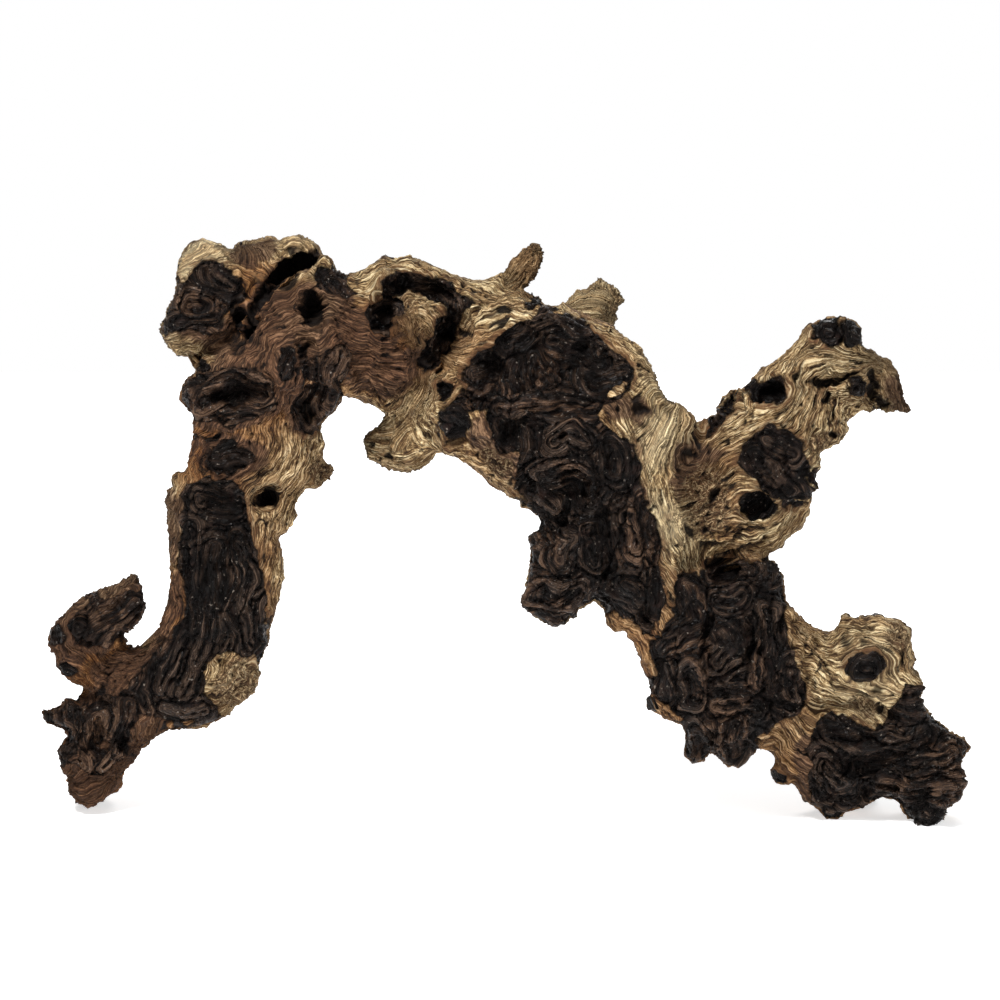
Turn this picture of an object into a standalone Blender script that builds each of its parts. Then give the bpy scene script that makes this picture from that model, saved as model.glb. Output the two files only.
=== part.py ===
"""Mopani wood: one gnarled, arched piece of root wood that stands on two feet.

The limbs are lofted from stations read along the front of the arch, grown together by a voxel
remesh, hollowed and knotted, and then sawn apart at the main forks. Metres, +Z up, and the wood
stands on Z = 0 with its box centred on the origin.
"""

import math

import bmesh
import bpy
from mathutils import Matrix, Vector, noise
from mathutils.bvhtree import BVHTree

# Driving dimensions
SPAN = 0.464  # the whole piece, foot to foot
VIEW_TILT = math.radians(12)  # the stations are read from this far above the horizon
FLOOR_UP = 6.1  # where the floor lies in the stations' own height, at depth 0
SAW_KERF = 0.3  # gap left between two limbs that were one
SAW_DEPTH = 200.0
TRIANGLES = 8100  # for the whole piece, before it is sawn

# Every other size is in design millimetres: real ones at a span of 464 mm
MM = SPAN / 464
RING_SIDES = 28
ROUNDING_LOSS = 0.8  # taken off a limb's edges by the softening, so added to them first
RIDGE_SIDES = 12
RAY_START = 200.0  # how far in front of the wood a look at its skin starts
GROWN_VOXEL = 1.5
FINE_VOXEL = 1.3
LUMP_HEIGHT = 1.5
LUMP_SPACING = 15.0
SQUARENESS = 2.3  # of a limb's cross-section: 2 is an ellipse

# A station is one edge (across, up), the other edge, its depth, and its half thickness front to
# back. Across and up are as seen from the front, and depth runs away from the viewer.
LIMBS = {
    "left_prong": [
        ((-181.5, 128.5), (-179.5, 126.5), 8, 2.5),
        ((-187, 125.5), (-178.5, 119), 7, 6),
        ((-193, 121.5), (-176, 112), 6, 9),
        ((-204, 118.5), (-178.5, 103), 5, 13),
        ((-211, 113), (-187, 97), 5, 15),
        ((-217, 108.5), (-191, 91), 6, 16),
        ((-224, 102), (-194, 87), 8, 16),
        ((-226, 92), (-192, 84), 10, 16),
        ((-221, 80), (-187, 89), 12, 16),
        ((-212, 71), (-183, 91), 13, 16),
        ((-200, 64), (-176, 92), 13, 17),
    ],
    "left_toe": [
        ((-172, 92), (-166, 49), 12, 19),
        ((-186, 86), (-171.5, 47), 13, 19),
        ((-203, 65), (-176, 44), 14, 19),
        ((-217, 65), (-180, 40), 15, 19),
        ((-220.5, 54), (-183, 33), 15, 19),
        ((-216.5, 46), (-186, 30), 16, 19),
        ((-221.5, 38), (-188.5, 26.5), 16, 20),
        ((-219, 28), (-190, 20), 16, 19),
        ((-216, 18), (-195, 16.5), 16, 17),
        ((-212, 11), (-200.5, 12.5), 16, 17),
        ((-208.5, 8.5), (-203, 9), 16, 14),
    ],
    "left_spur": [
        ((-229, 60.5), (-227.5, 55), 12, 3),
        ((-221, 62), (-221, 51), 12, 6),
        ((-212, 63), (-212, 49), 12, 9),
    ],
    "left_leg": [
        ((-176, 92), (-168, 49), 12, 19),
        ((-170.5, 101), (-153.5, 50.5), 11, 21),
        ((-166, 113.5), (-143, 53), 10, 23),
        ((-164, 127), (-128, 65), 9, 24),
        ((-164, 137), (-120, 79), 8, 25),
        ((-165, 146), (-115.5, 95), 7, 25),
        ((-166.5, 157), (-110.5, 113), 6, 25),
        ((-167.5, 165.5), (-107.5, 128), 5, 25),
        ((-163.5, 171), (-109.5, 146), 4, 25),
        ((-160.5, 178.5), (-101, 157), 3, 24),
        ((-154.5, 184), (-101.5, 164), 2, 24),
        ((-153, 191), (-90, 176), 1, 24),
        ((-152, 198.5), (-87.5, 188), 0, 25),
        ((-153, 207), (-89, 198.5), -1, 27),
        ((-158.5, 215), (-84, 207.5), -2, 28),
        ((-158, 220.5), (-79, 216), -3, 29),
        ((-151, 229), (-75, 217), -3, 30),
        ((-135, 241), (-71, 219), -3, 31),
        ((-124, 251), (-68, 222), -3, 31),
        ((-111, 267), (-66, 220), -2, 31),
        ((-97, 279), (-68, 216), 0, 30),
    ],
    "left_stump": [
        ((-169, 251), (-168.5, 245), 8, 8),
        ((-165.5, 261), (-164, 238), 9, 17),
        ((-161.5, 275), (-158, 235), 11, 23),
        ((-157, 287.5), (-152, 236.5), 13, 26),
        ((-148, 294), (-144, 236), 15, 27),
        ((-138, 290), (-135, 240), 17, 26),
        ((-126, 292.5), (-122, 250), 19, 24),
        ((-113, 295), (-110, 258), 21, 22),
        ((-100, 296.5), (-97, 262), 22, 20),
        ((-91, 289), (-88, 262), 22, 18),
        ((-84, 283), (-82, 262), 20, 16),
    ],
    "crown": [
        ((-97, 279), (-90, 218), 2, 30),
        ((-84, 279.5), (-81, 216), 4, 28),
        ((-75.5, 276), (-77, 216), 5, 27),
        ((-66, 280), (-70, 214), 6, 27),
        ((-57.5, 285.5), (-62.5, 211), 7, 28),
        ((-51.5, 284), (-57, 207), 8, 28),
        ((-45, 286), (-50, 203), 8, 28),
        ((-32, 280), (-38, 200), 9, 28),
        ((-22, 277), (-28, 192), 10, 28),
        ((-6, 274), (-16, 188), 12, 27),
        ((8, 269), (4, 190), 14, 25),
        ((26, 262), (20, 196), 16, 22),
    ],
    "twig": [
        ((-6, 274), (13, 262), 18, 10),
        ((1, 277.5), (11.5, 266), 20, 7),
        ((6, 284), (16.5, 276), 21, 6),
        ((12, 289.5), (22, 285), 22, 5.5),
        ((16, 293), (21.5, 290.5), 22, 4.5),
    ],
    "back_stub": [
        ((30, 252), (58, 240), 22, 14),
        ((35, 264), (57.5, 251), 25, 12),
        ((41.5, 271), (59.5, 261), 28, 10),
        ((48.5, 276), (62, 267), 30, 8),
    ],
    "under_spur": [
        ((-69, 195.5), (-66, 186), 14, 6),
        ((-65, 199), (-58, 181.5), 15, 12),
        ((-59, 203), (-50, 178), 15, 16),
        ((-54, 209), (-40, 178.5), 14, 19),
        ((-45, 214), (-31, 187), 12, 20),
        ((-30, 224), (-18, 192), 8, 20),
    ],
    "centre_burl": [
        ((2, 267), (-44, 215), 2, 24),
        ((12, 267), (-40, 204), -1, 31),
        ((29.5, 260.5), (-27.5, 189), -4, 36),
        ((57, 250), (-12.5, 179.5), -6, 39),
        ((70, 239), (2, 168), -6, 40),
        ((76, 227), (12, 161.5), -6, 40),
        ((83, 214.5), (20, 156), -6, 39),
        ((97, 205), (28, 142), -5, 37),
        ((99, 190), (36, 126), -4, 35),
        ((99, 170), (44, 114), -3, 33),
        ((98, 150), (51, 108), -2, 31),
        ((97, 135), (55, 98), -1, 29),
        ((95, 122), (66, 93.5), 0, 27),
    ],
    "hanging_lobe": [
        ((22, 156), (62, 142), -12, 24),
        ((14.5, 146), (60, 132), -14, 23),
        ((14.5, 132), (56, 122), -16, 21),
        ((13, 121), (50, 116), -17, 19),
        ((10.3, 113), (43, 110), -18, 17),
        ((15.5, 107), (38.5, 106), -18, 14),
        ((22, 103.5), (34, 102), -18, 10),
        ((26, 101), (31, 101), -18, 6),
    ],
    "right_arm": [
        ((90, 196), (92, 138), 2, 30),
        ((98.5, 201), (108, 134), 3, 31),
        ((103.5, 205.5), (121, 134), 3, 31),
        ((110, 214), (134, 137.5), 4, 31),
        ((117, 219.5), (147, 147), 5, 31),
        ((123, 221), (154.5, 160), 6, 30),
        ((131, 229), (158.5, 179), 7, 29),
        ((139, 235.5), (163, 188.5), 8, 27),
        ((146, 242), (172.5, 197), 9, 25),
        ((151.5, 250), (176, 206), 10, 24),
        ((158, 254), (182, 213), 11, 22),
        ((166.5, 256), (185, 222), 12, 20),
        ((175, 254.5), (182, 236), 12, 15),
    ],
    "arm_beak": [
        ((174, 243), (172, 222), 12, 15),
        ((181, 240), (178, 219), 11, 13),
        ((189, 236.5), (184, 213), 10, 11),
        ((198, 229), (189, 209.5), 9, 9),
        ((201.5, 217), (192, 207.5), 8, 7),
        ((204, 208.5), (198, 207.5), 8, 4),
    ],
    "right_leg": [
        ((72, 122), (128, 137), -4, 27),
        ((68, 108), (138, 133), -7, 31),
        ((67.5, 96), (142, 121), -9, 33),
        ((69.5, 85), (146, 109), -9, 34),
        ((74, 74.5), (153, 99), -8, 34),
        ((75, 65), (157, 88), -7, 34),
        ((79, 58.5), (152, 70), -6, 33),
        ((89.5, 52.5), (145, 55), -6, 31),
        ((93, 45), (135, 43), -6, 28),
    ],
    "leg_peg": [
        ((91, 54), (106, 54), -8, 16),
        ((93, 37), (103.5, 37.5), -8, 11),
        ((95.5, 32.5), (101.5, 34), -8, 7),
    ],
    "leg_root": [
        ((105, 54), (136, 52), -6, 24),
        ((108, 39), (129, 41), -6, 18),
        ((112, 33), (124, 33), -5, 12),
        ((116, 30.5), (120.5, 30.5), -5, 7),
    ],
    "right_foot": [
        ((140, 112), (134, 42), -2, 28),
        ((149, 105), (137, 36), 0, 28),
        ((156, 101), (143, 22.5), 1, 28),
        ((163.5, 98.5), (151, 15), 2, 29),
        ((170, 107.5), (160.5, 6), 3, 29),
        ((177.5, 106), (168, 4.5), 3, 29),
        ((189.5, 106.5), (175, 8), 3, 29),
        ((199, 104.5), (184, 13), 2, 29),
        ((204, 99.5), (190, 16), 1, 29),
        ((206.5, 89), (197, 15.5), -1, 29),
        ((209.5, 76), (202, 8), -3, 29),
        ((212, 62), (207, 2.5), -5, 28),
        ((218, 54), (213, 0), -7, 26),
        ((226, 48), (219, 0.5), -8, 23),
        ((232, 45.5), (223, 7), -9, 19),
        ((234.5, 40), (230, 14), -10, 13),
        ((232, 31), (233.5, 21), -10, 7),
    ],
    "foot_peg": [
        ((134, 42), (152, 40), 0, 14),
        ((136, 28), (148, 25), 0, 9),
        ((137.5, 21.5), (143, 21), 0, 5),
    ],
    "back_heel": [
        ((158, 70), (196, 66), 26, 15),
        ((162, 40), (192, 38), 32, 14),
        ((165, 20), (188, 18), 36, 12),
        ((169, 12.5), (184, 12.5), 37, 9),
    ],
    "back_toe": [
        ((-202, 50), (-184, 46), 30, 11),
        ((-206, 30), (-188, 28), 35, 10),
        ((-204, 14), (-192, 14), 37, 7),
    ],
}

# Lumps that stand out of a limb: across, up, depth of the centre, then half width, height and
# thickness, and the turn of its width in the front plane, in degrees
KNOTS = {
    "leg_side_burr": (-90, 180, 2, 9, 6, 12, 10),
    "leg_side_claw": (-87, 175, 0, 3.5, 5, 6, 15),
    "leg_side_burr_low": (-102, 156.5, 6, 4, 4, 6, 0),
    "ankle_burr": (-118, 93, 0, 4, 6, 10, 20),
    "elbow_edge": (-147, 214, -10, 8, 9, 12, -30),
    "barrel_knot": (-106, 231, -33, 9, 12, 7, 15),
    "leg_ball_knot": (-138, 184.5, -21, 9, 7, 6, -5),
    "slit_tooth": (-152, 233, 6, 3, 4, 5, 40),
    "crown_bump": (-57, 281.5, 8, 9, 5, 12, 20),
    "crown_flame": (-44, 255, -17, 10, 15, 8, -20),
    "arm_eye_left": (163, 245.5, -4, 8, 8.5, 9, -20),
    "arm_eye_right": (175.5, 244.5, -2, 6.5, 8, 8, 0),
    "arm_disc": (139, 181, -22, 19, 20, 9, 10),
    "arm_pocket_ball": (177, 221, -5, 6.5, 6.5, 7, 0),
    "foot_eye": (183, 81, -22, 11, 9.5, 8, 15),
    "burl_ring": (26, 207, -34, 13, 8, 9, 10),
    "burl_cheek": (56, 180, -34, 18, 20, 9, 0),
    "burl_side_knot": (-23, 204, -24, 8, 12, 8, -10),
    "leg_peg_nub": (76, 63, -10, 4, 5, 6, 0),
    "fork_web": (97, 133, 2, 13, 11, 20, 0),
    "back_burr_leg": (-135, 130, 30, 17, 21, 9, 10),
    "back_burr_elbow": (-110, 235, 26, 20, 17, 10, 0),
    "back_burr_burl": (40, 205, 31, 24, 19, 11, -35),
    "back_burr_crown": (-40, 245, 33, 16, 14, 8, 0),
    "back_burr_foot": (190, 60, 26, 18, 20, 9, 0),
    "back_burr_arm": (140, 195, 35, 15, 17, 8, 0),
    "back_burr_block": (115, 95, 26, 22, 25, 8, 15),
}

# Hollows: across, up, half width, half height, how deep below the skin, the turn in the front
# plane in degrees, and the side that they open on: 1 is the front and -1 the back
HOLLOWS = {
    "stump_face": (-144, 264, 17, 17, 6, 0, 1),
    "slit_low": (-127, 247, 4, 14, 13, -48, 1),
    "slit_high": (-104, 280, 4.5, 15, 18, -62, 1),
    "barrel_eye": (-92, 260, 7.5, 13, 13, 8, 1),
    "barrel_eye_low": (-96, 240, 5, 9, 7, 20, 1),
    "elbow_face": (-134, 217, 21, 12, 7, 5, 1),
    "elbow_pocket": (-93, 214, 9, 15, 7, 5, 1),
    "ball_knot_moat": (-136, 184, 13, 9, 5, -3, 1),
    "leg_hole": (-116.5, 166, 6.5, 7, 14, 0, 1),
    "leg_channel_top": (-142, 150, 15, 22, 5, 4, 1),
    "leg_channel": (-139, 122, 15, 30, 6, 0, 1),
    "leg_channel_low": (-150, 78, 22, 15, 6, -35, 1),
    "prong_face": (-199, 107, 16, 8, 5, 28, 1),
    "toe_face": (-203, 42, 9, 14, 5, -15, 1),
    "crown_pocket_left": (-55, 262, 10, 9, 16, -20, 1),
    "crown_pocket_top": (-35, 268, 20, 7, 14, -18, 1),
    "crown_pocket_right": (-24, 244, 8, 20, 15, -20, 1),
    "burl_bowl": (12, 238, 33, 15, 12, 32, 1),
    "burl_bowl_right": (46, 230, 20, 13, 9, -25, 1),
    "burl_bowl_low": (8, 197, 13, 12, 9, -15, 1),
    "burl_valley": (43, 158, 9, 26, 7, 22, 1),
    "arm_pocket": (134, 219, 10.5, 7, 9, 10, 1),
    "arm_pocket_low": (127.5, 162, 8.5, 7.5, 11, 10, 1),
    "arm_edge_pocket": (112, 212, 6, 9, 7, -35, 1),
    "arm_slot": (168, 225, 12, 5, 9, 12, 1),
    "arm_pit": (163.5, 214, 4, 6, 7, 25, 1),
    "arm_lace": (103, 167, 15, 19, 5, -10, 1),
    "block_mouth": (110, 130, 9, 6.5, 11, 5, 1),
    "block_fold_left": (93, 92, 5, 26, 4, -12, 1),
    "block_fold_right": (124, 92, 5, 28, 4, -10, 1),
    "foot_step": (172, 60, 25, 6, 7, -8, 1),
    "foot_arch": (193, 22, 10, 7, 6, 20, 1),
    "back_leg_hollow": (-137, 165, 13, 22, 8, 0, -1),
    "back_stump_hollow": (-140, 268, 14, 12, 9, 20, -1),
    "back_crown_hollow": (-66, 240, 12, 17, 10, 10, -1),
    "back_burl_hollow": (5, 235, 20, 13, 10, 30, -1),
    "back_burl_low": (66, 165, 13, 21, 9, 0, -1),
    "back_arm_hollow": (155, 225, 12, 10, 9, 30, -1),
    "back_block_hollow": (95, 60, 13, 11, 8, 0, -1),
    "back_foot_hollow": (212, 60, 12, 16, 8, 10, -1),
}

# Raised grain and folds: half width, how far it stands out, the side that it is on, and its path
# of (across, up) over the skin
RIDGES = {
    "pale_ridge": (6, 3, 1, [(29, 254), (48, 247), (61, 235), (70, 217), (75, 199), (82, 174), (88, 151), (98, 137)]),
    "pale_tongue": (4, 2, 1, [(86, 154), (84, 134), (84, 115), (78, 101)]),
    "leg_rim_right": (5, 2.5, 1, [(-121, 178), (-118, 154), (-115, 134), (-117, 114), (-122, 94)]),
    "leg_rim_left": (5, 2.5, 1, [(-160, 166), (-161, 140), (-161, 118), (-165, 100), (-174, 86)]),
    "leg_fold": (4, 2.5, 1, [(-147, 162), (-140, 140), (-137, 112), (-147, 90), (-158, 62)]),
    "stump_lip": (4, 3, 1, [(-131, 241), (-122, 262), (-108, 280), (-93, 291)]),
    "stump_rim": (4, 3, 1, [(-160, 258), (-157, 274), (-145, 284), (-131, 279), (-127, 262)]),
    "barrel_ridge": (6, 4, 1, [(-136, 231), (-121, 249), (-101, 270), (-86, 280)]),
    "barrel_ridge_low": (5, 3, 1, [(-122, 221), (-108, 243), (-96, 268)]),
    "crown_tongue": (5, 4, 1, [(-44, 222), (-42, 240), (-46, 252), (-40, 262)]),
    "crown_shoulder": (6, 3, 1, [(-74, 268), (-64, 250), (-60, 232), (-66, 218)]),
    "crown_seam": (5, 3, 1, [(-38, 199), (-27, 212), (-16, 232), (-6, 256), (8, 266)]),
    "burl_brow": (6, 4, 1, [(0, 239), (20, 248), (42, 248), (60, 234), (57, 216)]),
    "burl_brow_left": (5, 3, 1, [(-27, 222), (-10, 222), (5, 216), (24, 222), (38, 236)]),
    "burl_fold_left": (6, 4, 1, [(-28, 206), (-6, 200), (18, 196), (22, 176), (24, 152), (30, 122)]),
    "burl_fold_middle": (6, 4, 1, [(34, 222), (48, 200), (47, 168), (40, 140), (38, 112)]),
    "burl_fold_right": (5, 3, 1, [(63, 196), (66, 170), (71, 142), (68, 110)]),
    "arm_grain": (4, 2, 1, [(96, 194), (110, 178), (122, 152), (136, 142)]),
    "arm_grain_top": (4, 2.5, 1, [(104, 200), (122, 205), (142, 224), (156, 240)]),
    "arm_grain_low": (4, 2, 1, [(100, 160), (112, 146), (124, 138)]),
    "arm_beak_ridge": (3, 2, 1, [(172, 236), (184, 229), (192, 220), (199, 212)]),
    "block_fold_1": (4.5, 3, 1, [(83, 119), (80, 94), (86, 68), (99, 42)]),
    "block_fold_2": (4.5, 3.5, 1, [(100, 124), (98, 94), (103, 64)]),
    "block_fold_3": (5, 3.5, 1, [(123, 131), (120, 94), (125, 64), (118, 44)]),
    "block_fold_4": (5, 3, 1, [(140, 119), (143, 89), (145, 69), (132, 52)]),
    "block_curl": (4, 3, 1, [(122, 109), (108, 103), (103, 89), (110, 72), (122, 69)]),
    "foot_fold_top": (5, 3, 1, [(157, 45), (180, 42), (205, 45), (225, 36)]),
    "foot_fold_low": (5, 3, 1, [(158, 29), (180, 26), (202, 26), (222, 18)]),
    "foot_rim": (4, 3, 1, [(160, 60), (178, 50), (190, 56), (200, 68)]),
    "foot_saddle": (5, 3, 1, [(150, 96), (160, 84), (166, 66), (152, 48), (146, 26)]),
    "toe_fold": (4, 2.5, 1, [(-205, 64), (-210, 46), (-206, 20)]),
    "toe_fold_right": (4, 2.5, 1, [(-190, 72), (-195, 46), (-200, 20)]),
    "prong_rim": (3, 2.5, 1, [(-219, 96), (-210, 108), (-194, 115), (-182, 123)]),
    "back_leg_ridge": (6, 4, -1, [(-135, 210), (-140, 175), (-130, 130), (-145, 90), (-180, 60)]),
    "back_leg_ridge_2": (5, 3, -1, [(-118, 205), (-120, 160), (-150, 120), (-160, 75)]),
    "back_crown_ridge": (6, 4, -1, [(-130, 250), (-95, 240), (-60, 262), (-20, 240), (20, 225)]),
    "back_burl_ridge": (7, 4, -1, [(10, 250), (50, 225), (62, 190), (80, 150), (100, 110), (120, 70)]),
    "back_burl_ridge_2": (6, 4, -1, [(-15, 215), (20, 190), (45, 160), (60, 125)]),
    "back_arm_ridge": (5, 3, -1, [(90, 165), (120, 180), (145, 210), (165, 240)]),
    "back_block_ridge": (6, 4, -1, [(85, 110), (92, 80), (110, 55)]),
    "back_foot_ridge": (6, 3, -1, [(135, 95), (155, 80), (175, 90), (200, 75), (218, 40)]),
}

# Saw cuts at the forks, each from one end to the other as seen from the front
SAW_CUTS = {
    "toe_from_prong": ((-232, 62), (-168.5, 93)),
    "foot_from_leg": ((-171.5, 112), (-160, 30)),
    "leg_from_crown": ((-86, 300), (-76, 196)),
    "crown_from_burl": ((-70, 207.5), (12, 300)),
    "burl_from_arm": ((99, 216), (93.4, 135.4)),
    "burl_from_block": ((50, 86), (100.6, 136.6)),
    "arm_from_block": ((92.5, 136), (160, 134)),
    "block_from_foot": ((166, 114), (126, 30)),
}

# A point inside each limb once it is sawn: across, up, depth
LIMB_MARKS = {
    "left_prong": (-207, 96, 8),
    "left_toe": (-203, 36, 16),
    "left_leg": (-139, 140, 6),
    "crown": (-50, 225, 8),
    "centre_burl": (30, 210, -4),
    "right_arm": (130, 190, 6),
    "right_block": (110, 90, -8),
    "right_foot": (185, 50, 2),
}

HEARTWOOD = (0.045, 0.028, 0.020)
SAPWOOD = (0.56, 0.42, 0.25)
WOOD_LOOKS = {
    "left_prong": (HEARTWOOD, 0.5),
    "left_toe": (HEARTWOOD, 0.5),
    "left_leg": (HEARTWOOD, 0.5),
    "crown": (SAPWOOD, 0.75),
    "centre_burl": (HEARTWOOD, 0.5),
    "right_arm": (SAPWOOD, 0.75),
    "right_block": (HEARTWOOD, 0.5),
    "right_foot": (HEARTWOOD, 0.5),
}

UP_IN_VIEW = Vector((0, math.sin(VIEW_TILT), math.cos(VIEW_TILT)))
TO_VIEWER = Vector((0, -math.cos(VIEW_TILT), math.sin(VIEW_TILT)))


def place(across, up, depth):
    """The point seen at (across, up) from the front that lies at this depth, in metres."""
    height = (up - FLOOR_UP - depth * math.sin(VIEW_TILT)) / math.cos(VIEW_TILT)
    return Vector((across, depth, height)) * MM


def front_frame(turn, side=1):
    """Axes of a form turned by so many degrees in the front plane; its Z points to the viewer."""
    tilt = Matrix((Vector((1, 0, 0)), UP_IN_VIEW, TO_VIEWER)).transposed().to_4x4()
    facing = Matrix.Rotation(0 if side > 0 else math.pi, 4, UP_IN_VIEW)
    return facing @ tilt @ Matrix.Rotation(math.radians(turn), 4, "Z")


def power(value, exponent):
    return math.copysign(abs(value) ** exponent, value)


def close_tube(bm, rings):
    """Faces between the rings, and a flat end on the first and last of them."""
    sides = len(rings[0])
    for one, two in zip(rings, rings[1:]):
        for i in range(sides):
            j = (i + 1) % sides
            bm.faces.new((one[i], one[j], two[j], two[i]))
    bm.faces.new(reversed(rings[0]))
    bm.faces.new(rings[-1])


def add_limb(bm, stations):
    """Lofts a closed tube whose edges, seen from the front, run through the stations."""
    rings = []
    for edge, other, depth, thickness in stations:
        start, end = place(*edge, depth), place(*other, depth)
        centre, half = (start + end) / 2, (start - end) / 2
        half += half.normalized() * ROUNDING_LOSS * MM
        ring = []
        for i in range(RING_SIDES):
            angle = 2 * math.pi * i / RING_SIDES
            across = power(math.cos(angle), 2 / SQUARENESS)
            towards = power(math.sin(angle), 2 / SQUARENESS)
            ring.append(bm.verts.new(centre + half * across + TO_VIEWER * thickness * MM * towards))
        rings.append(ring)
    close_tube(bm, rings)


def add_ellipsoid(bm, matrix, half_sizes, subdivisions=3):
    scale = Matrix.Diagonal((*[size * MM for size in half_sizes], 1))
    bmesh.ops.create_icosphere(bm, subdivisions=subdivisions, radius=1, matrix=matrix @ scale)


def new_object(name, bm):
    """Closes the mesh's normals outwards and links it as an object."""
    bmesh.ops.recalc_face_normals(bm, faces=bm.faces)
    mesh = bpy.data.meshes.new(name)
    bm.to_mesh(mesh)
    bm.free()
    obj = bpy.data.objects.new(name, mesh)
    bpy.context.scene.collection.objects.link(obj)
    return obj


def settle_modifiers(obj):
    """Replaces the object's mesh by what its modifiers make of it."""
    graph = bpy.context.evaluated_depsgraph_get()
    mesh = bpy.data.meshes.new_from_object(obj.evaluated_get(graph))
    obj.modifiers.clear()
    obj.data = mesh


def remesh(obj, voxel, smoothing):
    """Grows overlapping shapes into one skin and softens the creases where they meet."""
    grown = obj.modifiers.new("grow together", "REMESH")
    grown.mode = "VOXEL"
    grown.voxel_size = voxel * MM
    soft = obj.modifiers.new("soften", "SMOOTH")
    soft.factor = 0.5
    soft.iterations = smoothing
    settle_modifiers(obj)


def cut_away(obj, cutter):
    cut = obj.modifiers.new("cut " + cutter.name, "BOOLEAN")
    cut.operation = "DIFFERENCE"
    cut.object = cutter
    settle_modifiers(obj)
    bpy.data.objects.remove(cutter)


def grow_limbs():
    """All limbs and knots as one closed skin."""
    bm = bmesh.new()
    for stations in LIMBS.values():
        add_limb(bm, stations)
    for across, up, depth, *half_sizes, turn in KNOTS.values():
        matrix = Matrix.Translation(place(across, up, depth)) @ front_frame(turn)
        add_ellipsoid(bm, matrix, half_sizes)
    wood = new_object("wood", bm)
    remesh(wood, GROWN_VOXEL, smoothing=4)
    return wood


def front_skin(wood):
    """A function from (across, up, side) to the point of the skin that is seen there."""
    skin = BVHTree.FromObject(wood, bpy.context.evaluated_depsgraph_get())

    def seen(across, up, side):
        out = TO_VIEWER * side
        return skin.ray_cast(place(across, up, 0) + out * (RAY_START * MM), -out)[0]

    return seen


def add_ridges(wood):
    """Lays each ridge over the skin as a tube that stands out by its height, and grows it in."""
    seen = front_skin(wood)
    bm = bmesh.new()
    bm.from_mesh(wood.data)
    for half_width, height, side, path in RIDGES.values():
        spots = [spot for spot in (seen(*point, side) for point in path) if spot]
        sink = TO_VIEWER * side * (half_width - height) * MM
        rings = []
        for i, spot in enumerate(spots):
            along = (spots[min(i + 1, len(spots) - 1)] - spots[max(i - 1, 0)]).normalized()
            across = along.cross(TO_VIEWER).normalized()
            out = across.cross(along)
            radius = half_width * MM * (0.6 if i in (0, len(spots) - 1) else 1)
            ring = []
            for k in range(RIDGE_SIDES):
                angle = 2 * math.pi * k / RIDGE_SIDES
                offset = (across * math.cos(angle) + out * math.sin(angle)) * radius
                ring.append(bm.verts.new(spot - sink + offset))
            rings.append(ring)
        close_tube(bm, rings)
    bm.normal_update()
    bm.to_mesh(wood.data)
    bm.free()
    remesh(wood, GROWN_VOXEL, smoothing=2)


def hollow_out(wood):
    """Sinks each hollow below the skin that is found under its place, front or back."""
    seen = front_skin(wood)
    bm = bmesh.new()
    for across, up, width, height, deep, turn, side in HOLLOWS.values():
        out = TO_VIEWER * side
        thick = max(deep, 0.6 * min(width, height))
        centre = seen(across, up, side) + out * ((thick - deep) * MM)
        add_ellipsoid(bm, Matrix.Translation(centre) @ front_frame(turn, side), (width, height, thick))
    hollows = new_object("hollows", bm)
    remesh(hollows, GROWN_VOXEL, smoothing=1)
    cut_away(wood, hollows)
    remesh(wood, FINE_VOXEL, smoothing=2)


def add_lumps(wood):
    """Raises and sinks the skin unevenly, most where it faces front or back, as burr wood grows."""
    skin = [(vertex.co.copy(), vertex.normal.copy()) for vertex in wood.data.vertices]
    for vertex, (spot, normal) in zip(wood.data.vertices, skin):
        swell = noise.noise(spot / (LUMP_SPACING * MM))
        swell += 0.5 * noise.noise(spot / (LUMP_SPACING * MM) * 2.3)
        facing = abs(normal.dot(TO_VIEWER))
        vertex.co = spot + normal * swell * LUMP_HEIGHT * MM * (0.25 + 0.75 * facing)


def lighten(wood):
    """Brings the skin down to the triangles that the whole piece may have."""
    triangles = sum(len(face.vertices) - 2 for face in wood.data.polygons)
    thin = wood.modifiers.new("lighten", "DECIMATE")
    thin.ratio = TRIANGLES / triangles
    thin.use_collapse_triangulate = True
    settle_modifiers(wood)


def wear_feet_flat(wood):
    """Trims whatever reaches below the floor, which leaves a small worn flat on each foot."""
    bm = bmesh.new()
    below = Matrix.Translation((0, 0, -0.05)) @ Matrix.Diagonal((2 * SPAN, SPAN, 0.1, 1))
    bmesh.ops.create_cube(bm, size=1, matrix=below)
    cut_away(wood, new_object("floor_cut", bm))


def saw_apart(wood):
    """Saws the wood at its forks, which leaves the limbs as loose bodies in one object."""
    for name, (start, end) in SAW_CUTS.items():
        a, b = place(*start, 0), place(*end, 0)
        along = (b - a).normalized()
        blade = Matrix((along, along.cross(TO_VIEWER), TO_VIEWER)).transposed().to_4x4()
        blade.translation = (a + b) / 2
        blade @= Matrix.Diagonal(((b - a).length, SAW_KERF * MM, SAW_DEPTH * MM, 1))
        bm = bmesh.new()
        bmesh.ops.create_cube(bm, size=1, matrix=blade)
        cut_away(wood, new_object(name, bm))


def loose_bodies(mesh):
    """The mesh's separate bodies, each as a set of vertex numbers."""
    bm = bmesh.new()
    bm.from_mesh(mesh)
    bm.verts.ensure_lookup_table()
    seen, bodies = set(), []
    for first in bm.verts:
        if first.index in seen:
            continue
        body, todo = set(), [first]
        while todo:
            vertex = todo.pop()
            if vertex.index in body:
                continue
            body.add(vertex.index)
            todo.extend(edge.other_vert(vertex) for edge in vertex.link_edges)
        seen |= body
        bodies.append(body)
    bm.free()
    return bodies


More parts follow.
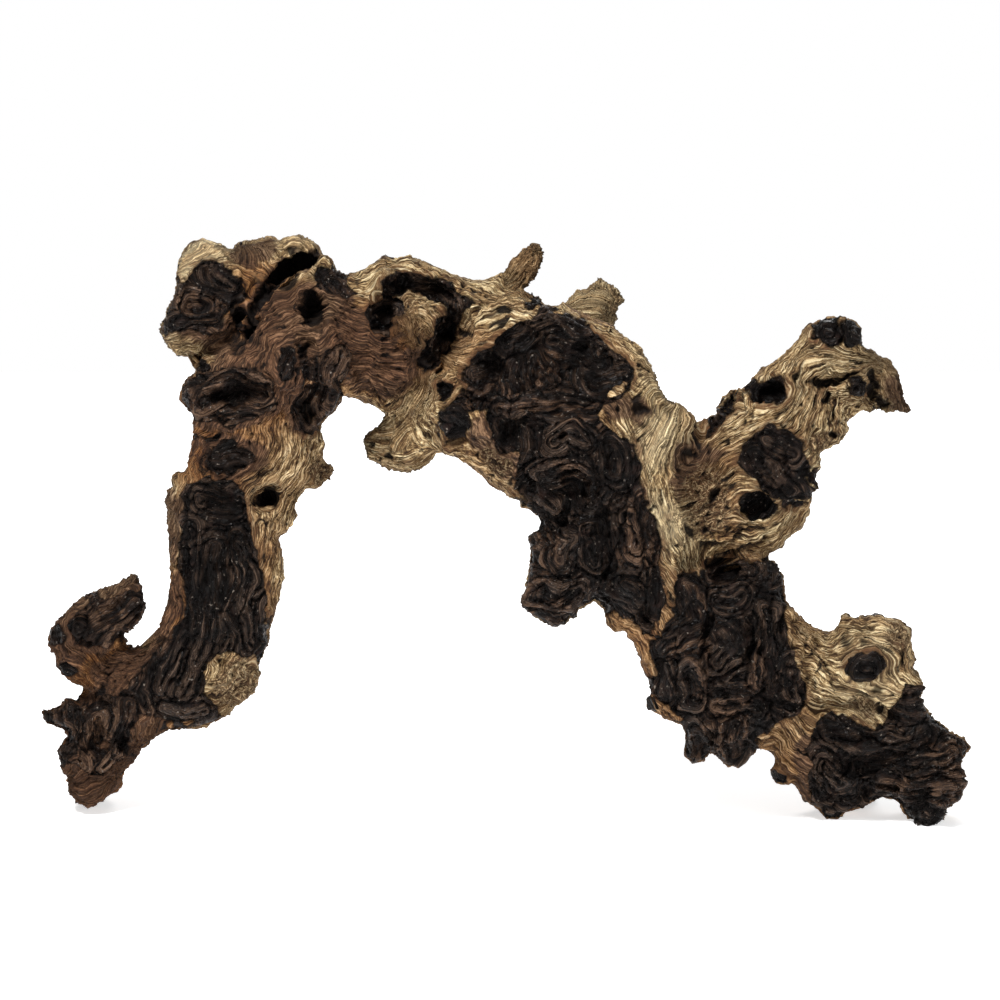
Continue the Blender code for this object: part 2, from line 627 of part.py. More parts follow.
def body_object(mesh, body, name):
    """One body of the mesh as its own object, under its limb's name."""
    bm = bmesh.new()
    bm.from_mesh(mesh)
    bm.verts.ensure_lookup_table()
    unwanted = [vertex for vertex in bm.verts if vertex.index not in body]
    bmesh.ops.delete(bm, geom=unwanted, context="VERTS")
    obj = new_object(name, bm)
    colour, roughness = WOOD_LOOKS[name]
    obj.data.materials.clear()
    obj.data.materials.append(wood_material(name + "_wood", colour, roughness))
    obj.data.shade_smooth()
    obj.data.set_sharp_from_angle(angle=math.radians(50))
    return obj


def wood_material(name, colour, roughness):
    material = bpy.data.materials.new(name)
    material.use_nodes = True
    shader = material.node_tree.nodes["Principled BSDF"]
    shader.inputs["Base Color"].default_value = (*colour, 1)
    shader.inputs["Roughness"].default_value = roughness
    shader.inputs["Metallic"].default_value = 0
    return material


def name_limbs(wood):
    """Gives each sawn body to the limb whose mark lies nearest to its middle."""
    points = [vertex.co for vertex in wood.data.vertices]
    bodies = loose_bodies(wood.data)
    limbs = []
    for name, mark in LIMB_MARKS.items():
        spot = place(*mark)
        body = min(bodies, key=lambda body: (sum((points[i] for i in body), Vector()) / len(body) - spot).length)
        limbs.append(body_object(wood.data, body, name))
    if len(bodies) != len(LIMB_MARKS):
        print("sawn bodies:", [len(body) for body in bodies])
    bpy.data.objects.remove(wood)
    return limbs


def centre_on_origin(limbs):
    """Moves the limbs together so that their box stands centred over the origin."""
    points = [vertex.co for limb in limbs for vertex in limb.data.vertices]
    middle = Vector()
    for axis in (0, 1):
        values = [point[axis] for point in points]
        middle[axis] = (min(values) + max(values)) / 2
    for limb in limbs:
        limb.data.transform(Matrix.Translation(-middle))
    print("moved by", [round(value / MM, 2) for value in -middle])


def main():
    for obj in list(bpy.data.objects):
        bpy.data.objects.remove(obj)
    wood = grow_limbs()
    add_ridges(wood)
    hollow_out(wood)
    add_lumps(wood)
    lighten(wood)
    wear_feet_flat(wood)
    saw_apart(wood)
    centre_on_origin(name_limbs(wood))


main()
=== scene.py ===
import math

import bpy
import numpy as np
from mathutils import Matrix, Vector


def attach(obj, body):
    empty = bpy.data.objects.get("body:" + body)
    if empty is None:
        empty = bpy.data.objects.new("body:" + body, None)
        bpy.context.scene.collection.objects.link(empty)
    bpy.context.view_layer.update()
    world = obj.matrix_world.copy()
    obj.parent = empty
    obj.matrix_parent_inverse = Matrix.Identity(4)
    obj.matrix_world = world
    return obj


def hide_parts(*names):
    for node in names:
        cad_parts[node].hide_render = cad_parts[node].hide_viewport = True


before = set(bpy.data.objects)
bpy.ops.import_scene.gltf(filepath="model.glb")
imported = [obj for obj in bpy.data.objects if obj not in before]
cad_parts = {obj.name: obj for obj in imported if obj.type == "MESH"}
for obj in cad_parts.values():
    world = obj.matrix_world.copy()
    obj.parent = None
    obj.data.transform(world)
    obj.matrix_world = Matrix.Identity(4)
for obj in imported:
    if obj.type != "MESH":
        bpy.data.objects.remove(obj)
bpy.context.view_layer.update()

# How the front picture lies over the wood: a point of it is half a millimetre, seen from 12
# degrees above the horizon. Front coordinates are (across, up, towards the viewer), in mm.
MM = 0.001
TILT = math.radians(12)
MIDDLE = (3.03, -0.57)  # of the wood's box, in the front coordinates' across and depth
FLOOR_UP = 6.1  # up at the floor below that middle
PICTURE_MIDDLE = 500  # the picture's column where across is 0
PICTURE_FLOOR = 828  # the picture's row where up is 0
PICTURE_POINTS = 1000
POINT = 0.5

# The fine skin over the sawn limbs, in mm
SKIN_VOXEL = 0.85  # between the skin's points
GROWTH = 0.45  # by which the limbs are grown, to close the cuts between them
SKIN_SMOOTHING = 10  # rounds
SAME_POINT = 2e-6  # m: corners nearer than this are one point

# How the skin's edge, as the front sees it, comes onto the outline, in mm
OUTLINE_REACH = 20.0  # the map of depths goes this far beyond the outline
OUTLINE_DEPTH = 60.0  # and no depth in it is larger
OUTLINE_STEP = 1.0
OUTLINE_ROUNDS = 3
EDGE_RADIUS = 12.0  # of the wood's roundness at the outline
SOFTENING = 14  # rounds in which directions are averaged with their neighbours'
EDGE_BORROW = 3.0  # the skin's edge takes its finish from this far inside the outline

# How strands and folds are laid out, in mm
LIMB_RADIUS = 26.0  # every limb's strands are laid out as if it had this half width
LIMB_DEPTH = 34.0  # no limb is deeper to each side of its middle
HEART_REACH = 8.0  # how far from its edge the heartwood's depth is told
FOLD_SPREAD = 1.3  # the folds lie this much wider than their nests' spacing says

# The noise that all the relief is made of: a block that repeats after so many cells
NOISE_CELLS = 16
NOISE_FINE = 6  # values along a cell

# The whole outline, from the front, clockwise from the left prong
OUTLINE = [
    (137, 572), (147, 604), (142, 621), (122, 634), (134, 648), (138, 643), (147, 648), (153, 640),
    (160, 626), (168, 601), (173, 573), (170, 537), (166, 500), (169, 489), (174, 487), (174, 477),
    (179, 471), (187, 473), (191, 462), (194, 446), (196, 431), (195, 414), (183, 398), (184, 388),
    (189, 379), (199, 373), (196, 365), (202, 359), (200, 355), (191, 353), (179, 356), (168, 344),
    (162, 333), (162, 324), (167, 316), (168, 309), (175, 300), (178, 287), (178, 276), (184, 255),
    (192, 244), (205, 240), (218, 244), (229, 250), (234, 251), (240, 244), (258, 241), (272, 238),
    (278, 242), (289, 237), (301, 235), (315, 242), (320, 253), (332, 260), (337, 269), (348, 276),
    (369, 268), (385, 256), (396, 259), (410, 256), (418, 261), (436, 268), (456, 275), (473, 281),
    (487, 280), (502, 273), (512, 260), (524, 251), (531, 242), (539, 243), (545, 253), (536, 271),
    (524, 288), (522, 298), (529, 303), (537, 295), (541, 300), (538, 306), (559, 307), (564, 302),
    (576, 288), (585, 288), (599, 276), (609, 283), (621, 290), (625, 300), (619, 306), (614, 328),
    (628, 340), (640, 350), (649, 366), (662, 395), (666, 400), (680, 404), (693, 416), (697, 427),
    (699, 421), (715, 414), (720, 400), (729, 389), (742, 389), (756, 375), (781, 355), (797, 339),
    (804, 327), (819, 320), (833, 316), (851, 320), (860, 329), (860, 346), (877, 355), (890, 359),
    (897, 371), (899, 382), (904, 400), (908, 412), (897, 412), (885, 414), (877, 409), (876, 402),
    (874, 414), (861, 410), (845, 421), (847, 432), (838, 443), (827, 449), (817, 452), (818, 464),
    (815, 479), (819, 489), (811, 491), (809, 509), (801, 527), (786, 537), (781, 546), (765, 554),
    (758, 557), (768, 558), (775, 563), (782, 576), (785, 599), (796, 614), (811, 626), (827, 632),
    (836, 627), (841, 614), (844, 611), (853, 616), (879, 615), (898, 619), (908, 628), (912, 649),
    (916, 659), (911, 666), (919, 676), (923, 690), (920, 695), (923, 705), (933, 718), (949, 730),
    (963, 737), (968, 746), (963, 757), (960, 764), (966, 775), (966, 786), (960, 799), (947, 808),
    (944, 820), (936, 826), (923, 828), (912, 821), (904, 812), (898, 799), (882, 796), (869, 802),
    (858, 808), (845, 812), (842, 818), (829, 818), (823, 815), (820, 808), (805, 799), (794, 781),
    (784, 785), (775, 783), (770, 773), (775, 761), (773, 752), (759, 745), (747, 762), (737, 767),
    (723, 762), (716, 752), (708, 751), (704, 759), (692, 763), (686, 754), (685, 728), (680, 723),
    (658, 711), (647, 707), (647, 697), (652, 693), (649, 681), (641, 664), (635, 642), (626, 630),
    (614, 631), (607, 624), (606, 609), (594, 599), (583, 606), (576, 609), (578, 616), (569, 618),
    (566, 624), (554, 626), (544, 621), (532, 614), (521, 607), (520, 597), (526, 587), (528, 566),
    (530, 549), (527, 537), (532, 531), (540, 525), (541, 518), (526, 506), (521, 507), (518, 500),
    (504, 492), (490, 483), (474, 469), (461, 459), (444, 450), (436, 452), (429, 462), (418, 470),
    (405, 471), (395, 470), (383, 464), (368, 457), (366, 447), (362, 437), (370, 431), (380, 426),
    (387, 413), (375, 406), (360, 399), (343, 394), (339, 405), (328, 417), (320, 425), (321, 432),
    (327, 441), (325, 451), (325, 463), (332, 463), (336, 469), (332, 478), (317, 488), (307, 487),
    (297, 502), (295, 507), (300, 515), (293, 523), (285, 533), (278, 535), (284, 559), (285, 576),
    (281, 597), (273, 616), (268, 632), (270, 642), (264, 654), (259, 663), (261, 673), (255, 689),
    (245, 698), (228, 713), (214, 721), (193, 727), (164, 730), (157, 734), (140, 749), (134, 762),
    (123, 772), (120, 787), (111, 793), (100, 801), (88, 809), (77, 804), (68, 791), (66, 776),
    (59, 760), (57, 749), (68, 735), (63, 728), (54, 725), (45, 718), (42, 709), (59, 705),
    (66, 696), (84, 703), (92, 703), (95, 695), (86, 688), (73, 682), (61, 672), (57, 663),
    (55, 653), (49, 642), (50, 627), (67, 611), (92, 591), (115, 585), (130, 575),
]

# Where the dark heartwood lies bare, from the front
HEARTWOOD = {
    "prong": [(82, 610), (95, 598), (115, 595), (135, 590), (148, 603), (141, 622), (124, 632),
              (108, 642), (90, 650), (76, 640), (68, 626)],
    "toe": [(40, 712), (62, 698), (80, 705), (98, 700), (122, 690), (140, 712), (132, 726), (134, 742),
            (120, 758), (104, 774), (84, 772), (66, 762), (56, 745), (66, 730)],
    "leg": [(182, 492), (192, 481), (210, 478), (230, 478), (244, 491), (252, 520), (257, 542),
            (264, 570), (268, 600), (264, 622), (269, 638), (263, 655), (248, 659), (225, 650),
            (212, 655), (205, 672), (206, 690), (218, 708), (214, 720), (190, 723), (165, 722),
            (142, 714), (120, 712), (125, 690), (142, 664), (158, 646), (180, 622), (184, 590), (180, 545)],
    "elbow": [(182, 393), (190, 380), (205, 375), (222, 368), (242, 366), (262, 367), (271, 381),
              (277, 396), (276, 410), (262, 415), (248, 419), (230, 425), (212, 423), (199, 416)],
    "barrel_low": [(298, 343), (306, 350), (313, 364), (320, 352), (345, 345), (353, 360), (346, 380),
                   (341, 400), (326, 421), (318, 432), (300, 432), (292, 415), (297, 397), (305, 380)],
    "barrel_end": [(318, 267), (335, 266), (352, 284), (358, 298), (346, 302), (330, 292), (314, 285)],
    "stump": [(200, 262), (222, 261), (234, 271), (245, 284), (249, 294), (243, 304), (234, 312),
              (226, 322), (218, 331), (203, 336), (188, 334), (171, 332), (163, 320), (168, 305),
              (175, 295), (180, 284), (191, 279)],
    "crown": [(381, 282), (395, 272), (412, 271), (432, 276), (452, 286), (475, 302), (464, 316),
              (457, 334), (448, 350), (440, 362), (424, 376), (419, 360), (424, 346), (436, 334),
              (439, 320), (444, 308), (431, 304), (420, 294), (408, 291), (397, 296), (406, 302),
              (402, 314), (392, 322), (389, 336), (376, 334), (366, 318), (371, 305), (384, 299)],
    "centre": [(462, 382), (466, 368), (476, 354), (492, 343), (508, 331), (522, 319), (545, 311),
               (570, 313), (588, 322), (601, 336), (613, 350), (625, 358), (632, 372), (630, 388),
               (620, 402), (604, 407), (598, 418), (612, 430), (629, 436), (638, 450), (641, 470),
               (640, 488), (650, 505), (658, 525), (662, 548), (660, 578), (662, 600), (656, 618),
               (650, 636), (640, 634), (629, 617), (612, 612), (602, 614), (594, 600), (576, 611),
               (580, 622), (558, 632), (538, 622), (514, 606), (522, 585), (525, 549), (522, 536),
               (537, 522), (537, 512), (524, 500), (514, 488), (517, 470), (518, 452), (500, 453),
               (492, 448), (491, 427), (488, 414), (470, 410), (452, 403), (463, 394)],
    "arm_disc": [(733, 461), (741, 445), (752, 432), (770, 427), (786, 430), (799, 443), (808, 458),
                 (812, 475), (808, 492), (795, 508), (782, 505), (770, 494), (757, 485), (744, 478)],
    "arm_edge": [(701, 430), (708, 418), (718, 410), (722, 398), (728, 393), (736, 400), (733, 411),
                 (724, 420), (712, 430), (704, 436)],
    "block": [(677, 571), (690, 569), (703, 575), (706, 562), (740, 556), (762, 556), (776, 561),
              (781, 578), (784, 600), (787, 622), (792, 650), (800, 678), (804, 697), (799, 709),
              (786, 718), (772, 721), (765, 728), (755, 738), (752, 766), (735, 774), (720, 764),
              (705, 768), (683, 768), (684, 735), (682, 718), (668, 707), (659, 697), (652, 680),
              (648, 660), (645, 642), (655, 630), (668, 618), (673, 600)],
    "foot": [(812, 735), (817, 718), (826, 708), (840, 713), (852, 718), (864, 725), (873, 728),
             (881, 722), (883, 710), (894, 700), (901, 690), (908, 681), (925, 692), (940, 712),
             (975, 735), (975, 790), (950, 825), (920, 834), (898, 802), (870, 806), (842, 824),
             (818, 818), (811, 800), (809, 775), (808, 752)],
}

# Pale islands in the heartwood: place, half width, half height, turn in degrees
PALE_ISLANDS = [(617, 391, 9, 5, 35), (103, 742, 6, 5, 0), (76, 752, 3, 10, -20)]

# Where the pale wood turns to brown, and where the dark wood is no darker than brown
UMBER = {
    "prong": [(46, 625), (60, 612), (90, 588), (138, 568), (152, 600), (142, 622), (120, 636),
              (104, 655), (72, 668), (56, 668), (46, 645)],
    "toe": [(38, 704), (70, 692), (96, 702), (90, 676), (102, 660), (120, 650), (150, 642),
            (172, 622), (170, 642), (148, 668), (132, 700), (150, 708), (168, 722), (154, 742),
            (134, 765), (122, 792), (88, 814), (60, 792), (54, 745)],
    "leg_rim": [(160, 495), (170, 485), (184, 498), (182, 520), (178, 560), (182, 600), (176, 622),
                (160, 646), (144, 652), (164, 610), (170, 560)],
    "elbow_lips": [(180, 385), (196, 372), (216, 366), (240, 362), (265, 364), (282, 380), (284, 410),
                   (262, 424), (230, 432), (205, 428), (190, 415)],
    "knot_lips": [(200, 438), (226, 432), (262, 446), (276, 452), (256, 470), (238, 480), (212, 474),
                  (196, 462)],
    "barrel": [(205, 372), (220, 352), (238, 345), (250, 322), (268, 299), (288, 286), (303, 281),
               (330, 283), (352, 290), (360, 320), (354, 345), (345, 370), (340, 400), (325, 424),
               (300, 434), (290, 424), (284, 404), (276, 392), (268, 380), (255, 368), (232, 368)],
    "slot_lips": [(206, 348), (228, 328), (244, 304), (258, 284), (280, 262), (318, 252), (320, 262),
                  (280, 282), (256, 312), (238, 345), (216, 356)],
    "stump_top": [(232, 253), (244, 240), (268, 236), (279, 250), (272, 262), (252, 268), (238, 263)],
    "crown_front": [(350, 300), (366, 312), (374, 336), (392, 338), (400, 330), (402, 350), (420, 348),
                    (418, 380), (404, 396), (376, 398), (346, 388), (348, 340)],
    "stump_knob": [(178, 300), (186, 292), (198, 296), (202, 312), (194, 320), (180, 314)],
    "stump_crumb": [(203, 298), (218, 296), (226, 304), (222, 322), (210, 326), (204, 314)],
    "stump_rim": [(172, 333), (206, 330), (232, 318), (248, 300), (252, 318), (232, 338), (205, 348)],
    "bowl_lips": [(462, 392), (468, 384), (500, 386), (520, 392), (545, 402), (600, 404), (600, 412),
                  (550, 414), (510, 410), (470, 408), (458, 402)],
    "drape": [(526, 352), (550, 345), (572, 372), (570, 398), (545, 402), (535, 385)],
    "eye_lid": [(552, 422), (575, 413), (598, 418), (606, 432), (598, 446), (592, 428), (574, 420)],
    "under_eye": [(552, 462), (566, 456), (584, 462), (580, 474), (560, 478)],
    "patch": [(470, 418), (484, 412), (494, 430), (494, 450), (520, 452), (520, 480), (502, 478),
              (486, 462), (466, 446)],
    "slab": [(626, 500), (641, 484), (652, 505), (660, 540), (658, 566), (640, 560), (622, 562),
             (608, 574), (620, 545), (627, 522)],
    "hanging": [(528, 536), (552, 528), (560, 545), (556, 572), (530, 590), (520, 606), (545, 622),
                (572, 612), (562, 596), (520, 606), (524, 575)],
    "hook": [(684, 585), (696, 600), (704, 620), (696, 640), (668, 645), (656, 652), (664, 660),
             (696, 656), (690, 700), (702, 706), (708, 640), (712, 610), (700, 585)],
    "drip": [(700, 704), (724, 700), (750, 680), (757, 620), (762, 620), (764, 690), (742, 706),
             (716, 722), (700, 716)],
    "pegs": [(686, 735), (700, 722), (720, 715), (745, 715), (750, 740), (735, 764), (716, 755),
             (696, 764)],
    "instep": [(792, 744), (802, 734), (812, 738), (809, 760), (811, 800), (800, 790), (792, 766)],
    "foot_end": [(910, 745), (935, 735), (960, 738), (970, 760), (968, 790), (950, 812), (930, 800),
                 (905, 792), (880, 790), (880, 780), (925, 775), (940, 760)],
    "arm_root": [(676, 445), (700, 442), (722, 450), (716, 462), (690, 470), (680, 500), (672, 480)],
    "beak": [(884, 376), (897, 374), (903, 388), (909, 412), (896, 416), (887, 402)],
    "burl_spot": [(600, 408), (618, 400), (642, 398), (652, 410), (642, 424), (618, 420)],
}

# Dark knots and burr eyes on the front: place, half width, half height, turn in degrees
HEART_KNOTS = {
    "prong_ring": (80, 630, 10, 10, 0),
    "prong_end": (56, 634, 9, 9, 0),
    "toe_spur": (68, 670, 9, 8, 0),
    "leg_top": (227, 458, 24, 15, 6),
    "leg_nub": (213, 437, 11, 4, 5),
    "leg_side": (205, 366, 6, 7, 0),
    "barrel_ring": (288, 365, 11, 15, 0),
    "under_burl": (455, 422, 14, 21, -10),
    "crown_eye": (444, 392, 8, 8, 0),
    "arm_side": (855, 388, 11, 10, 0),
    "arm_eye": (827, 333, 15, 13, 0),
    "arm_eye_low": (852, 334, 12, 14, 10),
    "arm_under": (757, 504, 17, 13, -10),
    "arm_top": (768, 391, 19, 13, 12),
    "arm_peg": (817, 485, 5, 6, 0),
    "block_peg": (652, 703, 6, 7, 0),
    "saddle_peg": (776, 777, 9, 7, 0),
    "foot_eye": (866, 667, 20, 15, 18),
    "stub_peg": (534, 302, 8, 5, 30),
}

# The lines that the dark wood's folds are nested round: points from fold to fold, and the path
NESTS = {
    "prong": (7, [(92, 636), (112, 618), (134, 604)]),
    "prong_ring": (4, [(79, 630), (81, 630)]),
    "toe_left": (7, [(68, 705), (76, 728), (70, 748), (84, 765)]),
    "toe_middle": (7, [(98, 715), (96, 745)]),
    "toe_right": (7, [(128, 705), (124, 735), (106, 764)]),
    "toe_tip": (8, [(86, 790), (108, 782)]),
    "ankle": (7, [(150, 655), (135, 690), (150, 712)]),
    "leg_bowl": (6, [(202, 500), (226, 508), (240, 498)]),
    "leg_left": (8, [(190, 525), (190, 590), (184, 635), (160, 690)]),
    "leg_middle": (7, [(214, 545), (212, 590), (205, 640), (185, 690)]),
    "leg_right": (7, [(238, 545), (252, 580), (244, 615), (252, 645)]),
    "leg_foot": (6, [(165, 710), (208, 712)]),
    "elbow": (7, [(202, 404), (232, 392), (262, 394)]),
    "stump": (6, [(192, 304), (203, 306)]),
    "stump_high": (7, [(212, 276), (232, 290)]),
    "stump_low": (5, [(180, 326), (215, 322)]),
    "barrel_hollow": (7, [(310, 370), (304, 400), (312, 425)]),
    "barrel_side": (7, [(338, 352), (332, 395)]),
    "barrel_end": (6, [(330, 275), (350, 292)]),
    "crown": (7, [(398, 280), (440, 290), (458, 304), (444, 336), (430, 362)]),
    "crown_left": (7, [(376, 314), (392, 308)]),
    "bowl": (9, [(474, 374), (492, 370)]),
    "bowl_back": (8, [(505, 348), (530, 330)]),
    "drapes": (6, [(514, 362), (512, 395)]),
    "drape_slot": (7, [(533, 358), (536, 385)]),
    "top_arc": (6, [(532, 324), (556, 320), (584, 330)]),
    "crust": (7, [(552, 342), (578, 346), (600, 362)]),
    "crust_right": (6, [(595, 378), (622, 372)]),
    "valley": (7, [(500, 408), (560, 404), (595, 408)]),
    "under_burl": (5, [(450, 418), (458, 428)]),
    "cheek": (8, [(504, 422), (510, 445)]),
    "eye": (5, [(556, 442), (568, 431), (582, 440)]),
    "right_lobe": (7, [(612, 446), (613, 470)]),
    "low_crust": (7, [(545, 478), (575, 470), (590, 492)]),
    "low_left": (7, [(530, 492), (552, 505)]),
    "hanging_left": (7, [(548, 528), (566, 540), (560, 560)]),
    "hanging": (6, [(590, 530), (594, 560)]),
    "hanging_low": (6, [(535, 592), (560, 600), (580, 590)]),
    "slab": (9, [(648, 500), (652, 560)]),
    "slab_left": (9, [(628, 515), (634, 550)]),
    "knob": (5, [(624, 585), (640, 594)]),
    "knob_right": (6, [(654, 570), (654, 610)]),
    "arm_disc": (8, [(750, 456), (768, 466), (790, 492)]),
    "arm_disc_high": (8, [(765, 440), (790, 452)]),
    "arm_under": (6, [(752, 506), (762, 500)]),
    "arm_top": (6, [(760, 392), (776, 390)]),
    "arm_eye": (5, [(826, 333), (829, 333)]),
    "arm_eye_low": (5, [(851, 333), (853, 334)]),
    "arm_side": (5, [(854, 388), (856, 388)]),
    "hook": (8, [(691, 585), (696, 622), (678, 640), (660, 650)]),
    "hook_low": (7, [(664, 672), (668, 698)]),
    "hook_right": (7, [(692, 672), (690, 700)]),
    "block_crust": (6, [(715, 600), (740, 596)]),
    "block_belly": (8, [(722, 626), (730, 648), (716, 660)]),
    "block_mouth": (8, [(712, 570), (750, 565)]),
    "block_right": (8, [(768, 610), (771, 690)]),
    "block_edge": (7, [(788, 660), (790, 698)]),
    "block_low": (7, [(716, 704), (755, 702)]),
    "peg_left": (7, [(694, 735), (697, 758)]),
    "peg_right": (7, [(732, 722), (734, 756)]),
    "foot_fan": (8, [(826, 732), (862, 742), (905, 744), (926, 730)]),
    "foot_middle": (7, [(856, 766), (905, 762), (955, 752)]),
    "foot_left": (8, [(822, 765), (842, 785)]),
    "foot_low": (7, [(880, 784), (925, 790), (958, 780)]),
    "foot_high": (7, [(898, 705), (922, 708)]),
    "foot_tip": (7, [(915, 812), (938, 818)]),
    "foot_eye": (5, [(862, 668), (872, 666)]),
}

# Holes: place, half width, half height, turn in degrees, depth in mm
HOLES = {
    "prong": (56, 634, 6, 7, 0, 4),
    "prong_fold": (116, 640, 9, 5, 20, 3),
    "toe_left": (70, 748, 8, 14, -20, 4),
    "toe_right": (122, 742, 7, 18, 40, 4),
    "toe_fork": (78, 716, 5, 14, 20, 3),
    "ankle": (103, 690, 6, 10, 0, 3),
    "leg": (268, 496, 13, 12, 15, 8),
    "leg_knot": (216, 466, 14, 4, 0, 3),
    "elbow": (238, 392, 32, 14, 8, 5),
    "slot": (285, 281, 26, 9, 32, 6),
    "slot_low": (247, 325, 8, 26, 25, 5),
    "barrel": (314, 308, 11, 22, 12, 8),
    "barrel_mid": (306, 352, 5, 12, -25, 5),
    "barrel_low": (308, 412, 12, 18, 10, 6),
    "spur": (386, 455, 6, 4, 30, 4),
    "crown_left": (383, 317, 12, 15, 20, 7),
    "crown_top": (398, 286, 16, 9, 5, 7),
    "crown_right": (450, 322, 9, 20, 20, 6),
    "crown_low": (428, 352, 8, 14, 25, 5),
    "crown_eye": (444, 392, 8, 9, 0, 5),
    "crown_pit": (468, 333, 8, 4, -20, 3),
    "twig_pit": (502, 309, 10, 4, 0, 4),
    "bowl": (492, 368, 18, 12, -15, 4),
    "bowl_slot": (534, 372, 5, 14, 0, 4),
    "crust_pit": (578, 350, 12, 8, 10, 4),
    "cheek": (506, 432, 12, 18, -5, 4),
    "eye": (562, 436, 6, 5, 0, 2.5),
    "low_slot": (570, 470, 12, 4, 0, 4),
    "lobe_slot": (608, 458, 5, 18, 0, 4),
    "burl_slot": (600, 528, 10, 24, 5, 5),
    "knob_pit": (644, 615, 8, 12, 20, 4),
    "block_mouth": (724, 567, 18, 9, 5, 8),
    "block_low": (735, 704, 12, 6, 0, 3),
    "block_fork": (708, 738, 5, 14, 0, 4),
    "arm_top": (768, 391, 15, 9, 12, 6),
    "arm_edge": (728, 404, 7, 8, 0, 5),
    "arm_edge_low": (710, 424, 6, 7, -20, 5),
    "arm_slot": (824, 382, 20, 4, -6, 6),
    "arm_slot_high": (873, 379, 14, 5, -48, 6),
    "arm_slot_mid": (847, 375, 12, 3.5, 18, 5),
    "arm_slot_end": (872, 392, 6, 15, 12, 6),
    "beak_slot": (880, 406, 5, 12, 10, 5),
    "arm_pit": (826, 396, 5, 9, 15, 5),
    "arm_pit_low": (833, 410, 3, 9, -15, 3),
    "arm_notch": (832, 432, 8, 5, 15, 5),
    "arm_root": (690, 455, 9, 8, 0, 3),
    "lace_1": (697, 492, 4, 5, 20, 3),
    "lace_2": (711, 492, 4, 6, -20, 4),
    "lace_3": (690, 528, 10, 5, -50, 4),
    "lace_4": (727, 527, 5, 4, 0, 3),
    "lace_5": (706, 527, 3, 4, 0, 3),
    "burl_spot": (640, 411, 9, 8, 10, 3),
    "foot_gap": (845, 640, 5, 9, 30, 2),
    "eye_lid": (862, 642, 6, 6, 0, 2),
    "foot_side": (900, 655, 4, 12, 0, 3),
    "foot_instep": (875, 690, 8, 3, -20, 2),
    "foot_arch": (885, 786, 24, 4, -8, 4),
}

# The same for the back, still as the front's picture has them
BACK_KNOTS = [
    (240, 300, 30, 22, 20), (225, 470, 20, 28, 0), (150, 690, 22, 16, 40), (330, 330, 26, 14, 10),
    (420, 310, 16, 24, -10), (515, 360, 30, 20, -30), (590, 430, 24, 34, 30), (640, 520, 20, 26, 20),
    (560, 580, 24, 18, 0), (720, 600, 30, 24, 0), (700, 690, 24, 20, 30), (790, 430, 26, 20, 40),
    (760, 520, 22, 12, 0), (850, 350, 16, 12, 0), (870, 690, 34, 20, 10), (900, 770, 26, 18, 0),
    (80, 640, 14, 14, 0), (95, 750, 16, 20, 0), (220, 590, 16, 40, 10),
]
BACK_HOLES = [
    (300, 300, 16, 8, 30, 6), (200, 390, 8, 12, 0, 6), (460, 350, 12, 7, -20, 6), (560, 350, 8, 12, 20, 6),
    (620, 470, 7, 14, 30, 6), (670, 440, 12, 6, 40, 5), (740, 470, 12, 9, 0, 7), (820, 400, 9, 6, 30, 5),
    (690, 560, 14, 7, 0, 6), (760, 650, 8, 14, 10, 6), (830, 740, 14, 8, 0, 6), (940, 740, 8, 8, 0, 5),
    (180, 620, 6, 12, 0, 5), (120, 720, 9, 6, 0, 5), (400, 440, 8, 6, 0, 4),
]

